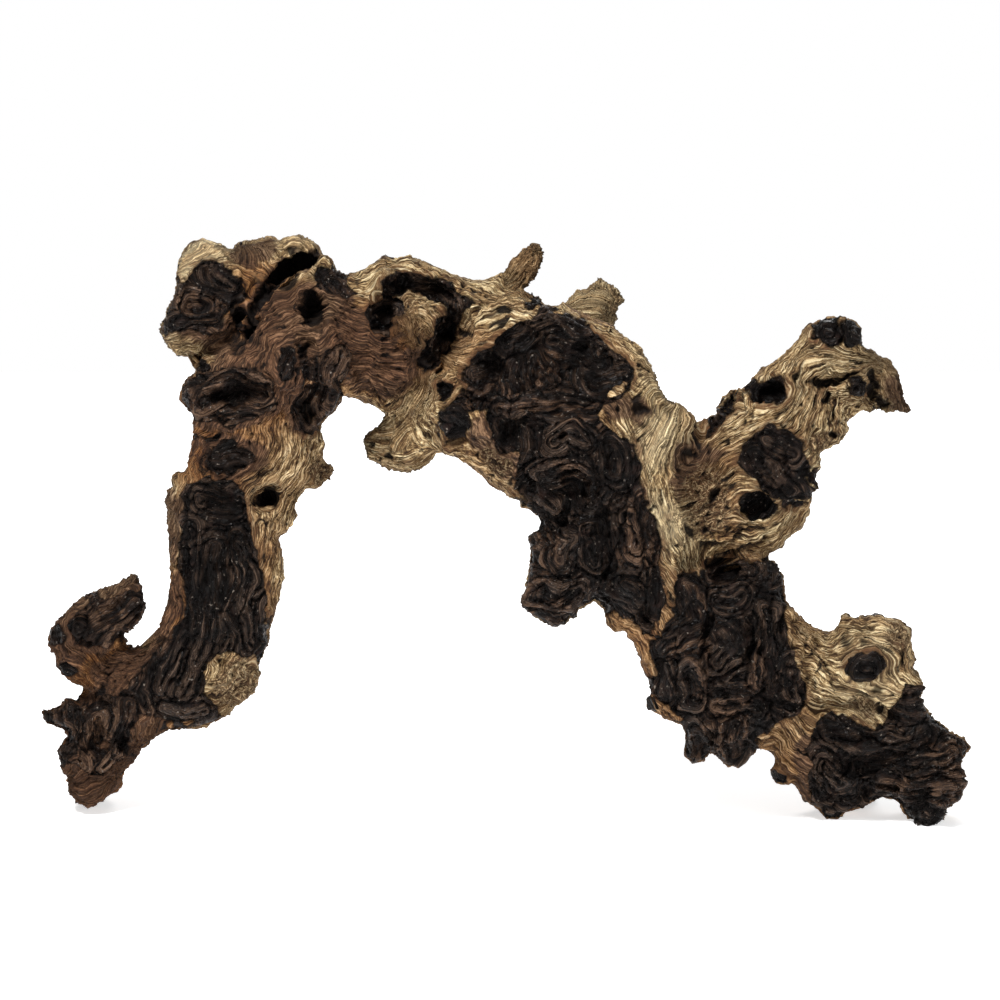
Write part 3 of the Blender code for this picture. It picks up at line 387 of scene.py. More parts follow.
# Broad swells and dips of the front: place, half width, half height, turn in degrees, rise in mm
FORMS = [
    (482, 368, 26, 17, -20, -5.0), (545, 352, 20, 26, 10, -3.0), (578, 338, 17, 16, 0, 2.0),
    (604, 374, 22, 16, -15, 2.5), (540, 318, 50, 7, 0, 2.0), (545, 408, 62, 8, 4, -3.5),
    (478, 432, 24, 18, 0, 2.0), (508, 442, 10, 22, -10, -3.5), (568, 436, 19, 17, 0, 1.5),
    (562, 436, 7, 7, 0, -2.5), (622, 452, 14, 16, 0, 2.0), (594, 468, 7, 50, 5, -3.0),
    (560, 492, 40, 7, -10, -3.0), (648, 520, 12, 50, 10, 1.5), (560, 555, 26, 34, 0, 2.0),
    (536, 582, 12, 20, 0, 1.5), (634, 602, 19, 18, 0, 3.0), (606, 560, 7, 40, 5, -3.0),
    (452, 420, 14, 22, -10, 1.5), (690, 640, 9, 60, 3, 2.5), (665, 660, 8, 40, 0, 1.5),
    (706, 650, 6, 60, 4, -3.0), (730, 640, 14, 28, 0, 2.5), (748, 655, 6, 55, 2, -3.0),
    (775, 640, 12, 60, 4, 2.5), (725, 715, 40, 6, 8, -2.0), (700, 600, 12, 22, 0, 1.0),
    (850, 745, 40, 6, -4, 2.0), (870, 762, 50, 5, -2, -2.0), (880, 784, 46, 7, 0, 2.0),
    (905, 700, 18, 10, 30, 2.0), (930, 745, 10, 25, 0, -1.5), (830, 775, 14, 22, 0, 1.5),
    (940, 800, 14, 16, 0, 2.0), (866, 666, 30, 26, 0, 1.5), (866, 666, 23, 20, 0, -3.0),
    (866, 667, 16, 14, 0, 5.0), (845, 622, 8, 14, 0, 2.0), (222, 400, 36, 12, 0, -3.0),
    (232, 385, 30, 7, 5, 1.5), (238, 408, 30, 5, -5, 1.5), (288, 365, 14, 16, 0, 3.5),
    (225, 460, 26, 17, 0, -3.0), (225, 459, 15, 10, 0, 4.0), (215, 505, 30, 10, 0, -2.5),
    (214, 560, 9, 60, 3, -2.0), (195, 560, 8, 70, 5, 1.0), (240, 575, 8, 50, -5, 1.5),
    (195, 690, 30, 14, -30, -2.0), (238, 680, 20, 22, 0, 2.5), (208, 298, 30, 28, 0, -2.5),
    (206, 292, 17, 15, 0, 3.0), (235, 330, 8, 20, 30, 1.5), (103, 613, 34, 12, 25, -2.0),
    (80, 631, 12, 12, 0, 2.5), (95, 740, 8, 34, -15, -2.0), (116, 735, 8, 34, -20, 1.5),
    (75, 765, 8, 26, 0, 1.5), (411, 322, 12, 26, 10, 3.0), (350, 345, 14, 30, 0, 1.5),
    (372, 390, 30, 10, 0, 1.5), (454, 419, 10, 20, -10, 2.0), (774, 468, 38, 40, 0, 2.0),
    (774, 468, 30, 32, 0, -2.5), (770, 460, 20, 6, 30, 1.5), (785, 480, 20, 6, 20, 1.5),
    (826, 334, 13, 12, 0, 2.5), (852, 334, 10, 12, 0, 2.5), (840, 334, 3, 12, 0, -2.5),
    (854, 386, 10, 9, 0, 2.5), (706, 493, 26, 34, 0, -3.0), (740, 425, 10, 30, 20, 1.5),
    (790, 410, 20, 10, 30, 1.0), (637, 411, 12, 8, 0, -1.5), (640, 360, 10, 30, -35, 1.5),
    (668, 450, 10, 60, 8, 2.0), (690, 545, 20, 8, 30, 1.5),
]

# Slits and long cracks: half width in points, depth in mm, and the path over the front
CRACKS = [
    (7, 6, [(309, 259), (284, 272), (262, 298), (248, 325), (238, 346)]),
    (2.5, 3, [(186, 500), (188, 545), (186, 600), (183, 630)]),
    (1.5, 3, [(240, 545), (253, 572), (252, 592), (240, 620), (246, 640)]),
    (1.5, 2, [(180, 690), (190, 655), (188, 640)]),
    (1.5, 2, [(238, 500), (252, 540), (262, 570)]),
    (2, 3, [(700, 548), (730, 540), (752, 531), (775, 528)]),
    (2, 3, [(716, 558), (740, 549), (768, 541)]),
    (1.5, 2, [(702, 536), (735, 530), (760, 525)]),
    (1, 1, [(676, 490), (684, 516), (700, 545)]),
    (2, 3, [(707, 585), (709, 615), (700, 645), (702, 680)]),
    (1.5, 3, [(655, 662), (672, 662), (678, 672), (672, 690)]),
    (2, 3, [(755, 622), (752, 645), (738, 665), (715, 677), (704, 683)]),
    (1.5, 3, [(762, 615), (762, 660), (764, 690), (748, 700)]),
    (1.5, 3, [(772, 590), (776, 640), (782, 690)]),
    (1.5, 3, [(688, 675), (688, 702)]),
    (1.5, 2, [(760, 702), (782, 700)]),
    (2, 3, [(835, 738), (860, 738), (885, 744), (915, 736)]),
    (1.5, 3, [(832, 742), (850, 758), (880, 756), (910, 752), (928, 742)]),
    (2, 3, [(858, 765), (880, 770), (905, 768), (930, 760)]),
    (1.5, 3, [(840, 775), (855, 765), (862, 790)]),
    (2, 3, [(880, 787), (905, 788), (925, 796)]),
    (1.5, 2, [(905, 778), (930, 776), (955, 780)]),
    (1.5, 2, [(945, 768), (962, 764)]),
    (1.5, 2, [(815, 780), (825, 792), (835, 800)]),
    (2, 3, [(462, 400), (490, 404), (515, 402)]),
    (2, 3, [(530, 450), (525, 475), (530, 500)]),
    (2, 3, [(590, 470), (584, 490), (592, 505)]),
    (2, 3, [(626, 480), (622, 520), (618, 545), (606, 575)]),
    (1.5, 2, [(642, 505), (640, 560)]),
    (1.5, 2, [(560, 522), (556, 540)]),
    (1.5, 2, [(570, 520), (565, 550), (572, 568)]),
    (1.5, 2, [(524, 588), (545, 577), (575, 580)]),
    (1.5, 2, [(380, 388), (396, 402), (412, 394)]),
    (1.5, 2, [(366, 380), (378, 398)]),
    (1.5, 2, [(760, 445), (762, 470), (775, 490)]),
    (1.5, 2, [(745, 455), (765, 478), (785, 500)]),
    (1.5, 2, [(786, 455), (780, 470), (790, 480)]),
    (1.5, 2, [(808, 640), (825, 665), (835, 690)]),
    (1.5, 2, [(795, 620), (815, 650)]),
    (1.5, 2, [(120, 660), (108, 680), (112, 700)]),
]

# Lacy, worm-eaten patches: place, half width, half height, turn in degrees
LACES = [
    (706, 500, 24, 36, 12), (236, 682, 21, 26, -25), (898, 634, 12, 17, 20), (866, 706, 22, 9, -15),
    (322, 470, 11, 16, 0), (494, 462, 18, 9, -35), (820, 440, 13, 10, 30),
]

# How pale the sapwood is, from -1 for red-brown to 1 for cream: place, reach in points, tone
TONES = [
    (172, 600, 20, -1.2), (200, 425, 30, -1.0), (250, 440, 28, -0.7), (215, 470, 20, -0.8),
    (285, 400, 18, -0.9), (270, 560, 20, -0.6), (282, 570, 10, 0.4), (310, 470, 30, -0.25),
    (240, 680, 22, 0.0), (150, 725, 16, -0.5), (265, 300, 30, -0.9), (195, 250, 22, 1.0),
    (170, 335, 12, 0.3), (300, 243, 22, 0.5), (330, 262, 12, -0.1), (365, 350, 25, -1.3),
    (385, 360, 22, -1.2), (411, 330, 16, -0.5), (400, 262, 30, 0.1), (370, 385, 16, -0.3),
    (400, 430, 25, 0.0), (390, 455, 20, -0.2), (440, 380, 12, -0.4), (490, 290, 22, 0.4),
    (470, 345, 16, -0.5), (525, 270, 20, -0.6), (600, 300, 30, 0.4), (600, 345, 14, -0.2),
    (640, 365, 22, 0.7), (655, 440, 22, 1.2), (668, 520, 18, 1.1), (665, 590, 12, -0.3),
    (690, 545, 18, 0.4), (740, 400, 40, -0.1), (715, 455, 20, -0.5), (690, 480, 20, -0.7),
    (720, 500, 22, -0.4), (780, 530, 20, 0.2), (815, 400, 30, -0.1), (820, 355, 16, 0.2),
    (890, 380, 20, -0.3), (805, 660, 22, -0.2), (835, 670, 18, 0.3), (880, 640, 30, 0.3),
    (870, 705, 20, 0.6), (905, 660, 10, -0.3), (790, 730, 22, -0.5), (785, 765, 16, -0.7),
    (720, 660, 60, -0.6), (90, 720, 60, -1.3), (860, 780, 50, -0.6), (620, 620, 16, -0.6),
    (480, 470, 22, -0.5), (455, 455, 14, -0.1), (570, 400, 60, -0.5), (220, 600, 40, -0.6),
]

# The limbs' middle lines: (across, up), half width and depth in mm. The strands follow them.
ARCH = [
    (-207, 4, 8, 16), (-205, 25, 15, 16), (-200, 48, 19, 15), (-176, 70, 22, 12), (-154, 85, 29, 10),
    (-143, 110, 26, 8), (-138, 140, 27, 6), (-135, 165, 27, 4), (-126, 185, 29, 2), (-120, 205, 34, 0),
    (-108, 232, 40, -2), (-86, 248, 36, 1), (-62, 248, 36, 6), (-40, 242, 40, 8), (-10, 232, 44, 8),
    (20, 216, 50, 0), (48, 192, 50, -5), (66, 160, 36, -4), (78, 130, 30, -2), (102, 106, 36, -8),
    (132, 84, 38, -5), (160, 64, 42, 0), (188, 56, 46, 2), (210, 42, 36, -4), (232, 30, 14, -9),
]
BRANCHES = {
    "arm": [
        (80, 160, 30, 2), (104, 168, 36, 3), (128, 180, 38, 5), (148, 200, 30, 9), (162, 226, 22, 11),
        (184, 232, 14, 11), (203, 206, 8, 8),
    ],
    "prong": [
        (-178, 74, 20, 13), (-196, 80, 20, 13), (-208, 95, 18, 8), (-196, 110, 12, 6),
        (-178, 126, 5, 8),
    ],
    "stump": [
        (-78, 266, 14, 20), (-104, 277, 18, 22), (-130, 268, 24, 19), (-150, 264, 30, 13),
        (-172, 250, 12, 8),
    ],
    "lobe": [(62, 172, 28, -10), (44, 142, 24, -14), (30, 118, 17, -17), (28, 98, 9, -18)],
    "tongue": [(-48, 256, 9, -20), (-42, 240, 12, -26), (-46, 220, 15, -28), (-58, 206, 16, -22)],
    "twig": [(0, 258, 10, 18), (9, 276, 7, 20), (20, 296, 5, 22)],
    "stub": [(42, 244, 14, 22), (50, 262, 11, 26), (57, 276, 9, 30)],
    "spur": [(-20, 212, 18, 9), (-44, 196, 17, 14), (-72, 189, 9, 14)],
}


# The pieces that the skin is cut into, and the node that a piece stands for where the name differs
LIMBS = [
    "left_prong", "left_toe", "left_leg", "left_elbow", "crown",
    "centre_burl", "burl_lobe", "right_arm", "right_block", "right_foot",
]
STANDS_FOR = {"left_elbow": "left_leg", "burl_lobe": "centre_burl"}

# The studio, in m and W
CAMERA_DISTANCE = 10.0
CAMERA_SENSOR = 36.0  # mm
CAMERA_CLIP = 50.0
CAMERA_AIM_UP = 164.4  # mm, up in the front coordinates
FLOOR_CORNERS = [(-3, -3, 0), (3, -3, 0), (3, 1.1, 0), (-3, 1.1, 0)]
FLOOR_WHITE = 0.9
FLOOR_GLOW = 0.6
SKY_STRENGTH = 0.25
LIGHTS_AIM = (0, 0, 0.15)
LIGHTS = {  # place, size, power
    "key": ((-0.6, -1.0, 1.7), 0.4, 55),
    "fill": ((1.3, -1.3, 0.7), 0.8, 10),
    "back": ((0.4, 1.6, 1.2), 0.8, 16),
}


def picture(points):
    """Front coordinates of points of the picture."""
    points = np.asarray(points, float)
    return np.stack([(points[..., 0] - PICTURE_MIDDLE), (PICTURE_FLOOR - points[..., 1])], -1) * POINT


def to_front(places):
    """Front coordinates (across, up, towards) in mm of places in the row frame."""
    x, y, z = (np.asarray(places) / MM).T
    x, y = x + MIDDLE[0], y + MIDDLE[1]
    up = z * math.cos(TILT) + y * math.sin(TILT) + FLOOR_UP
    towards = z * math.sin(TILT) - y * math.cos(TILT)
    return np.stack([x, up, towards], 1)


def to_row(front):
    """Places in the row frame of front coordinates."""
    across, up, towards = front.T
    up = up - FLOOR_UP
    z = up * math.cos(TILT) + towards * math.sin(TILT)
    y = up * math.sin(TILT) - towards * math.cos(TILT)
    return np.stack([across - MIDDLE[0], y - MIDDLE[1], z], 1) * MM


def turn_to_front(directions):
    """Directions of the row frame, as the front has them."""
    x, y, z = directions.T
    up = z * math.cos(TILT) + y * math.sin(TILT)
    towards = z * math.sin(TILT) - y * math.cos(TILT)
    return np.stack([x, up, towards], 1)


def ease(low, high, values):
    """0 below low, 1 above high, and smooth between."""
    t = np.clip((values - low) / (high - low), 0, 1)
    return t * t * (3 - 2 * t)


def bell(values, middle, width):
    """1 at the middle, and nearly 0 beyond twice the width from it."""
    return np.exp(-(((values - middle) / width) ** 2))


def noise_block(seed):
    """Gradient noise over a block of cells that repeats, with a spread of about 1."""
    rng = np.random.default_rng(seed)
    slopes = rng.normal(size=(NOISE_CELLS, NOISE_CELLS, NOISE_CELLS, 3))
    slopes /= np.linalg.norm(slopes, axis=3, keepdims=True)
    line = np.arange(NOISE_CELLS * NOISE_FINE) / NOISE_FINE
    cell = line.astype(int)
    part = line - cell
    fade = part**3 * (part * (part * 6 - 15) + 10)
    total = 0
    for corner in np.ndindex(2, 2, 2):
        picks = [(cell + step) % NOISE_CELLS for step in corner]
        slope = slopes[np.ix_(*picks)]
        weight = 1
        rise = 0
        for axis, step in enumerate(corner):
            shape = [1, 1, 1]
            shape[axis] = -1
            rise = rise + slope[..., axis] * (part - step).reshape(shape)
            weight = weight * (fade if step else 1 - fade).reshape(shape)
        total = total + rise * weight
    return (total / total.std()).astype(np.float32).ravel()


BLOCKS = [noise_block(seed) for seed in (3, 14, 27)]


def noise(points, size, kind=0, shift=0.0):
    """Noise at points, with features about size mm wide. size may have one value for each axis."""
    n = NOISE_CELLS * NOISE_FINE
    grid = (points / size + shift) * NOISE_FINE
    low = np.floor(grid)
    part = (grid - low).astype(np.float32)
    low = low.astype(np.int32) % n
    high = (low + 1) % n
    block = BLOCKS[kind]
    total = np.zeros(len(points), np.float32)
    for i, fx in ((low[:, 0], 1 - part[:, 0]), (high[:, 0], part[:, 0])):
        for j, fy in ((low[:, 1], 1 - part[:, 1]), (high[:, 1], part[:, 1])):
            row = (i * n + j) * n
            weight = fx * fy
            total += block[row + low[:, 2]] * weight * (1 - part[:, 2])
            total += block[row + high[:, 2]] * weight * part[:, 2]
    return total


def noises(points, size, kinds, shift=0.0):
    """One noise of each kind, side by side."""
    return np.stack([noise(points, size, kind, shift) for kind in kinds], 1)


def inside_depth(points, outline, reach):
    """How far inside an outline each point lies, in mm; negative outside, and -reach beyond it."""
    corners = picture(outline)
    depth = np.full(len(points), -reach, np.float32)
    near = np.all((points > corners.min(0) - reach) & (points < corners.max(0) + reach), axis=1)
    spots = points[near]
    least = np.full(len(spots), reach * reach, np.float32)
    within = np.zeros(len(spots), bool)
    for start, end in zip(corners, np.roll(corners, -1, 0)):
        along = end - start
        offset = spots - start
        t = np.clip(offset @ along / max(along @ along, 1e-9), 0, 1)
        gap = offset - t[:, None] * along
        least = np.minimum(least, (gap * gap).sum(1))
        crosses = (start[1] > spots[:, 1]) != (end[1] > spots[:, 1])
        if start[1] != end[1]:
            edge = start[0] + (spots[:, 1] - start[1]) / (end[1] - start[1]) * along[0]
            within ^= crosses & (spots[:, 0] < edge)
    depth[near] = np.sqrt(least) * np.where(within, 1, -1)
    return depth


def oval_distance(points, place, half_width, half_height, turn):
    """How far each point is from an oval's middle: 1 on its rim."""
    middle = picture(place)
    angle = math.radians(turn)
    offset = (points - middle) / POINT
    across = offset[:, 0] * math.cos(angle) + offset[:, 1] * math.sin(angle)
    up = offset[:, 1] * math.cos(angle) - offset[:, 0] * math.sin(angle)
    return np.hypot(across / half_width, up / half_height)


def pit_depth(distance, deep):
    """The depth of an oval hole at a distance from its middle, where its rim is at 1."""
    return deep * (1 - ease(0.35, 1.05, distance))


def parting(points, place, distance, share, fading):
    """How far an oval pushes aside the strands that pass it."""
    spread = np.minimum(1, 1 / np.maximum(distance, 0.3) ** 2) * share * (1 - ease(*fading, distance))
    return (points - picture(place)) * spread[:, None]


def path_distance(points, path):
    """Distance in mm from a path over the front, and how far along it the nearest place is."""
    corners = picture(path)
    least = np.full(len(points), 1e6, np.float32)
    reached = np.zeros(len(points), np.float32)
    before = 0.0
    for start, end in zip(corners, corners[1:]):
        along = end - start
        offset = points - start
        t = np.clip(offset @ along / (along @ along), 0, 1)
        gap = offset - t[:, None] * along
        distance = (gap * gap).sum(1)
        nearer = distance < least
        length = math.hypot(*along)
        reached[nearer] = before + t[nearer] * length
        least = np.minimum(least, distance)
        before += length
    return np.sqrt(least), reached


def nested_folds(points):
    """For places of the front: the folds counted from the nearest nest's line, the distance from
    it and the way along it in mm, and how near the place is to the seam with another nest."""
    least = np.full(len(points), 1e6, np.float32)
    second = least.copy()
    count, along = (np.zeros(len(points), np.float32) for _ in range(2))
    for number, (spacing, path) in enumerate(NESTS.values()):
        distance, reached = path_distance(points, path)
        nearer = distance < least
        second = np.where(nearer, least, np.minimum(second, distance))
        least = np.minimum(least, distance)
        count[nearer] = distance[nearer] / (spacing * POINT * FOLD_SPREAD)
        along[nearer] = reached[nearer] + 29.0 * number
    return count, least, along, second - least


def limb_coordinates(points, line):
    """Where each point lies on a limb: round it (2 values, in mm) and along it. Then how near it
    is, where 1 is the limb's side, and how far to the front."""
    line = np.array(line, float)
    runs = np.linspace(0, len(line) - 1, 3 * (len(line) - 1) + 1)
    dense = np.stack([np.interp(runs, range(len(line)), column) for column in line.T], 1)
    steps = np.linalg.norm(np.diff(dense[:, :2], axis=0), axis=1)
    reached = np.concatenate([[0], np.cumsum(steps)])
    total = np.zeros(len(points))
    lateral, along_limb, width, depth = (np.zeros(len(points)) for _ in range(4))
    for i, length in enumerate(steps):
        start, along = dense[i], (dense[i + 1] - dense[i]) / length
        offset = points[:, :2] - start[:2]
        t = np.clip(offset @ along[:2], 0, length)
        gap = offset - t[:, None] * along[:2]
        side = along[0] * offset[:, 1] - along[1] * offset[:, 0]
        weight = 1 / ((gap * gap).sum(1) + 4) ** 3
        total += weight
        lateral += weight * side
        along_limb += weight * (reached[i] + t)
        width += weight * (start[2] + t * along[2])
        depth += weight * (start[3] + t * along[3])
    lateral, along_limb, width, depth = (sums / total for sums in (lateral, along_limb, width, depth))
    behind = points[:, 2] + depth * math.cos(TILT) - (points[:, 1] - FLOOR_UP) * math.tan(TILT)
    around = np.stack([lateral / width, behind / np.minimum(width, LIMB_DEPTH)], 1)
    frontness = around[:, 1].copy()
    reach = np.linalg.norm(around, axis=1)
    around *= LIMB_RADIUS / np.maximum(reach, 0.2)[:, None]
    return np.column_stack([around, along_limb]).astype(np.float32), reach, frontness


def read_all(items, key, width, kind=np.float32):
    """A row of values for each of a mesh's points, edges or corners."""
    values = np.empty(len(items) * width, kind)
    items.foreach_get(key, values)
    return values.reshape(-1, width)


def wood_skin():
    """One fine skin over all the frame's nodes, with the saw cuts between them closed."""
    places, faces, count = [], [], 0
    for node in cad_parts.values():
        spots, which = merge_points(read_all(node.data.vertices, "co", 3))
        triangles = which[read_all(node.data.loops, "vertex_index", 1, np.int32).reshape(-1, 3)]
        first, second, third = (spots[triangles[:, corner]] for corner in range(3))
        faces_out = np.cross(second - first, third - first)
        normals = np.zeros((len(spots), 3))
        for corner in range(3):
            for axis in range(3):
                normals[:, axis] += np.bincount(triangles[:, corner], faces_out[:, axis], len(spots))
        normals /= np.maximum(np.linalg.norm(normals, axis=1), 1e-12)[:, None]
        places.append(spots + normals * GROWTH * MM)
        faces.append(triangles + count)
        count += len(spots)
    skin = new_mesh("skin", np.concatenate(places), np.concatenate(faces))
    obj = bpy.data.objects.new("skin", skin)
    bpy.context.scene.collection.objects.link(obj)
    grown = obj.modifiers.new("grow together", "REMESH")
    grown.mode = "VOXEL"
    grown.voxel_size = SKIN_VOXEL * MM
    soft = obj.modifiers.new("soften", "SMOOTH")
    soft.factor = 0.5
    soft.iterations = SKIN_SMOOTHING
    mesh = bpy.data.meshes.new_from_object(obj.evaluated_get(bpy.context.evaluated_depsgraph_get()))
    bpy.data.objects.remove(obj)
    return mesh


def merge_points(spots):
    """The different points, and for each old point the number of its new one."""
    keys = np.round(spots / SAME_POINT).astype(np.int64)
    _, first, which = np.unique(keys, axis=0, return_index=True, return_inverse=True)
    return spots[first], which.reshape(-1)


def new_mesh(name, places, faces):
    """A mesh of faces that all have the same number of corners."""
    mesh = bpy.data.meshes.new(name)
    mesh.vertices.add(len(places))
    mesh.vertices.foreach_set("co", np.asarray(places, np.float32).ravel())
    mesh.loops.add(faces.size)
    mesh.loops.foreach_set("vertex_index", faces.astype(np.int32).ravel())
    mesh.polygons.add(len(faces))
    mesh.polygons.foreach_set("loop_start", np.arange(0, faces.size, faces.shape[1], dtype=np.int32))
    mesh.update(calc_edges=True)
    return mesh


def read_skin(mesh):
    """The skin's points and the directions they face, in the front coordinates."""
    spots = read_all(mesh.vertices, "co", 3)
    return to_front(spots), turn_to_front(read_all(mesh.vertex_normals, "vector", 3))


def move_skin(mesh, front):
    """Moves the skin's points to places of the front coordinates."""
    mesh.vertices.foreach_set("co", to_row(front).astype(np.float32).ravel())
    mesh.update()


class OutlineMap:
    """How far inside the outline each place of the front lies, and which way is inwards."""

    def __init__(self):
        corners = picture(OUTLINE)
        self.low = corners.min(0) - OUTLINE_REACH
        size = np.ceil((corners.max(0) + OUTLINE_REACH - self.low) / OUTLINE_STEP).astype(int) + 2
        grid = np.stack(np.meshgrid(*map(np.arange, size), indexing="ij"), -1).reshape(-1, 2)
        depth = inside_depth(grid * OUTLINE_STEP + self.low, OUTLINE, OUTLINE_DEPTH).reshape(size)
        self.maps = [depth, *np.gradient(depth, OUTLINE_STEP)]

    def read(self, points):
        """The depth at each point, and the direction in which it grows."""
        grid = (points - self.low) / OUTLINE_STEP
        most = np.array(self.maps[0].shape) - 2
        cell = np.clip(np.floor(grid).astype(int), 0, most)
        part = np.clip(grid - cell, 0, 1)
        found = []
        for values in self.maps:
            total = 0
            for i, fx in ((0, 1 - part[:, 0]), (1, part[:, 0])):
                for j, fy in ((0, 1 - part[:, 1]), (1, part[:, 1])):
                    total = total + values[cell[:, 0] + i, cell[:, 1] + j] * fx * fy
            found.append(total)
        return found[0], np.stack(found[1:], 1)


def soften(mesh, values):
    """The values of the mesh's points, averaged with their neighbours a few times."""
    start, end = read_all(mesh.edges, "vertices", 2, np.int32).T
    count = len(values)
    neighbours = np.bincount(start, minlength=count) + np.bincount(end, minlength=count)
    for _ in range(SOFTENING):
        total = np.bincount(start, values[end], count) + np.bincount(end, values[start], count)
        values = (values + total) / (1 + neighbours)
    return values


def fit_outline(front, normals, facing_up, outline_map):
    """Moves the skin's edge, as the front sees it, onto the outline."""
    edge = 1 - ease(0.3, 0.85, np.abs(facing_up))
    depth, inwards = outline_map.read(front[:, :2])
    flat = normals[:, :2] / np.maximum(np.linalg.norm(normals[:, :2], axis=1), 1e-6)[:, None]
    facing = ease(0.1, 0.6, -(flat * inwards).sum(1))
    near = 1 - ease(4.0, 7.0, np.abs(depth))
    rounded = EDGE_RADIUS * (1 - np.sqrt(1 - np.minimum(facing_up**2, 1)))
    front[:, :2] -= inwards * ((depth - rounded) * edge * facing * near)[:, None]
    return front


def wood_relief(mesh):
    """Shapes the skin and returns what the finish needs to know at each of its points."""
    outline_map = OutlineMap()
    for _ in range(OUTLINE_ROUNDS):
        front, normals = read_skin(mesh)
        front = fit_outline(front, normals, soften(mesh, normals[:, 2]), outline_map)
        move_skin(mesh, front)
    front, normals = read_skin(mesh)

    depth, inwards = outline_map.read(front[:, :2])
    ragged = front[:, :2] + inwards * np.clip(EDGE_BORROW - depth, 0, 2 * EDGE_BORROW)[:, None]
    ragged += noises(front, 9, (0, 1)) * 0.9
    ragged += noises(front, 3, (1, 2)) * 0.35
    facing = ease(-0.35, 0.1, normals[:, 2])
    open_front = ease(0.0, 0.3, normals[:, 2])
    away = ease(0.1, 0.5, -normals[:, 2])

    # Holes and cracks, and how the strands part round them
    pull = np.zeros_like(front[:, :2])
    holes = np.zeros(len(front), np.float32)
    hole_rim = np.zeros(len(front), np.float32)
    for across, up, width, height, turn, deep in HOLES.values():
        distance = oval_distance(ragged, (across, up), width, height, turn)
        holes = np.maximum(holes, pit_depth(distance, deep))
        hole_rim = np.maximum(hole_rim, bell(distance, 1.2, 0.22))
        pull += parting(front[:, :2], (across, up), distance, 0.5, (1.6, 3.2))
    for across, up, width, height, turn in HEART_KNOTS.values():
        distance = oval_distance(front[:, :2], (across, up), width * 1.2, height * 1.2, turn)
        pull += parting(front[:, :2], (across, up), distance, 0.6, (1.8, 3.5))
    cracks = np.zeros(len(front), np.float32)
    for half_width, deep, path in CRACKS:
        distance = path_distance(ragged, path)[0] / (half_width * POINT)
        cracks = np.maximum(cracks, deep * (1 - ease(0.2, 1.5, distance)))
    holes *= open_front
    cracks *= open_front
    hole_rim *= open_front
    back_holes = np.zeros(len(front), np.float32)
    for across, up, width, height, turn, deep in BACK_HOLES:
        distance = oval_distance(ragged, (across, up), width, height, turn)
        back_holes = np.maximum(back_holes, pit_depth(distance, deep) * away)
        hole_rim = np.maximum(hole_rim, bell(distance, 1.2, 0.22) * away)

    # Where each point lies along its limb, and along the nearest branch
    warped = front.copy()
    warped[:, :2] -= pull * facing[:, None]
    drift = noises(front, 17, (0, 1, 2))
    bend = noises(front, 38, (0, 1, 2), 0.7)
    stir = noises(front, 7, (1, 2, 0), 0.9)
    swirl = warped + bend * 2.5 + drift * 0.6 + stir * 0.35
    main, main_reach, frontness = limb_coordinates(swirl, ARCH)
    side = np.zeros_like(main)
    side_reach = np.full(len(front), 9.0)
    for i, line in enumerate(BRANCHES.values()):
        where, reach, forward = limb_coordinates(swirl, line)
        nearer = reach < side_reach
        frontness = np.where(nearer & (reach < main_reach), forward, frontness)
        side[nearer] = where[nearer] + [0, 0, 61.0 * i]
        side_reach = np.minimum(side_reach, reach)
    branch = ease(-0.25, 0.25, main_reach - side_reach).astype(np.float32)
    turning = normals[:, 2] + 0.4 * np.clip(frontness, -1, 1) + noise(front, 8, 2, 0.3) * 0.07
    facing = np.maximum(ease(0.03, 0.25, normals[:, 2]), ease(-0.1, 0.15, turning))

    def strands(across, along, kind=0, shift=0.0):
        """Noise drawn out along the limbs, with features about so many mm across and along."""
        size = np.array([across, across, along])
        trunk = noise(main, size, kind, shift) * (1 - branch)
        limb = noise(side, size, kind, shift) * branch
        return (trunk + limb) / np.sqrt((1 - branch) ** 2 + branch**2)

    # How deep inside the bare heartwood each point lies, and where the wood is brown
    bare = np.full(len(front), -HEART_REACH, np.float32)
    for outline in HEARTWOOD.values():
        bare = np.maximum(bare, inside_depth(ragged, outline, HEART_REACH))
    for across, up, width, height, turn in PALE_ISLANDS:
        distance = oval_distance(ragged, (across, up), width, height, turn)
        bare = np.minimum(bare, (distance - 1) * min(width, height) * POINT)
    knot_rings, knots = (np.zeros(len(front), np.float32) for _ in range(2))
    for across, up, width, height, turn in HEART_KNOTS.values():
        distance = oval_distance(ragged, (across, up), width, height, turn)
        bare = np.maximum(bare, (1 - distance) * min(width, height) * POINT)
        knot_rings += np.cos(distance * 9) * (distance < 1.6) * open_front * (1 - ease(1.0, 1.6, distance))
        knots = np.maximum(knots, 1 - ease(0.8, 1.15, distance))
    behind = strands(15, 75, 1, 0.4) * 6 + noise(front, 13, 2) * 2 - 3.5
    for across, up, width, height, turn in BACK_KNOTS:
        distance = oval_distance(ragged, (across, up), width, height, turn)
        behind = np.maximum(behind, (1 - distance) * min(width, height) * POINT)
        knot_rings += np.cos(distance * 12) * (distance < 1.6) * away * (1 - ease(1.0, 1.6, distance))
    bare = bare * facing + behind * (1 - facing)
    heart = ease(-0.35, 0.55, bare)
    umber = np.full(len(front), -HEART_REACH, np.float32)
    for outline in UMBER.values():
        umber = np.maximum(umber, inside_depth(ragged, outline, HEART_REACH))
    umber = ease(-1.4, 1.0, umber + noise(front, 5, 1) * 0.5) * facing
    umber += ease(0.2, 1.6, noise(front, 22, 0, 0.2)) * (1 - facing) * 0.8

    # The folds of the heartwood: nested on the front, and wild where nothing shows them
    wavy = front[:, :2] + noises(front, 14, (1, 2), 0.6)
    count, distance, along, seam = nested_folds(wavy)
    nested = heart * facing > 0.5
    side[nested] = np.stack([distance, np.zeros_like(along), along], 1)[nested]
    branch[nested] = 1.0

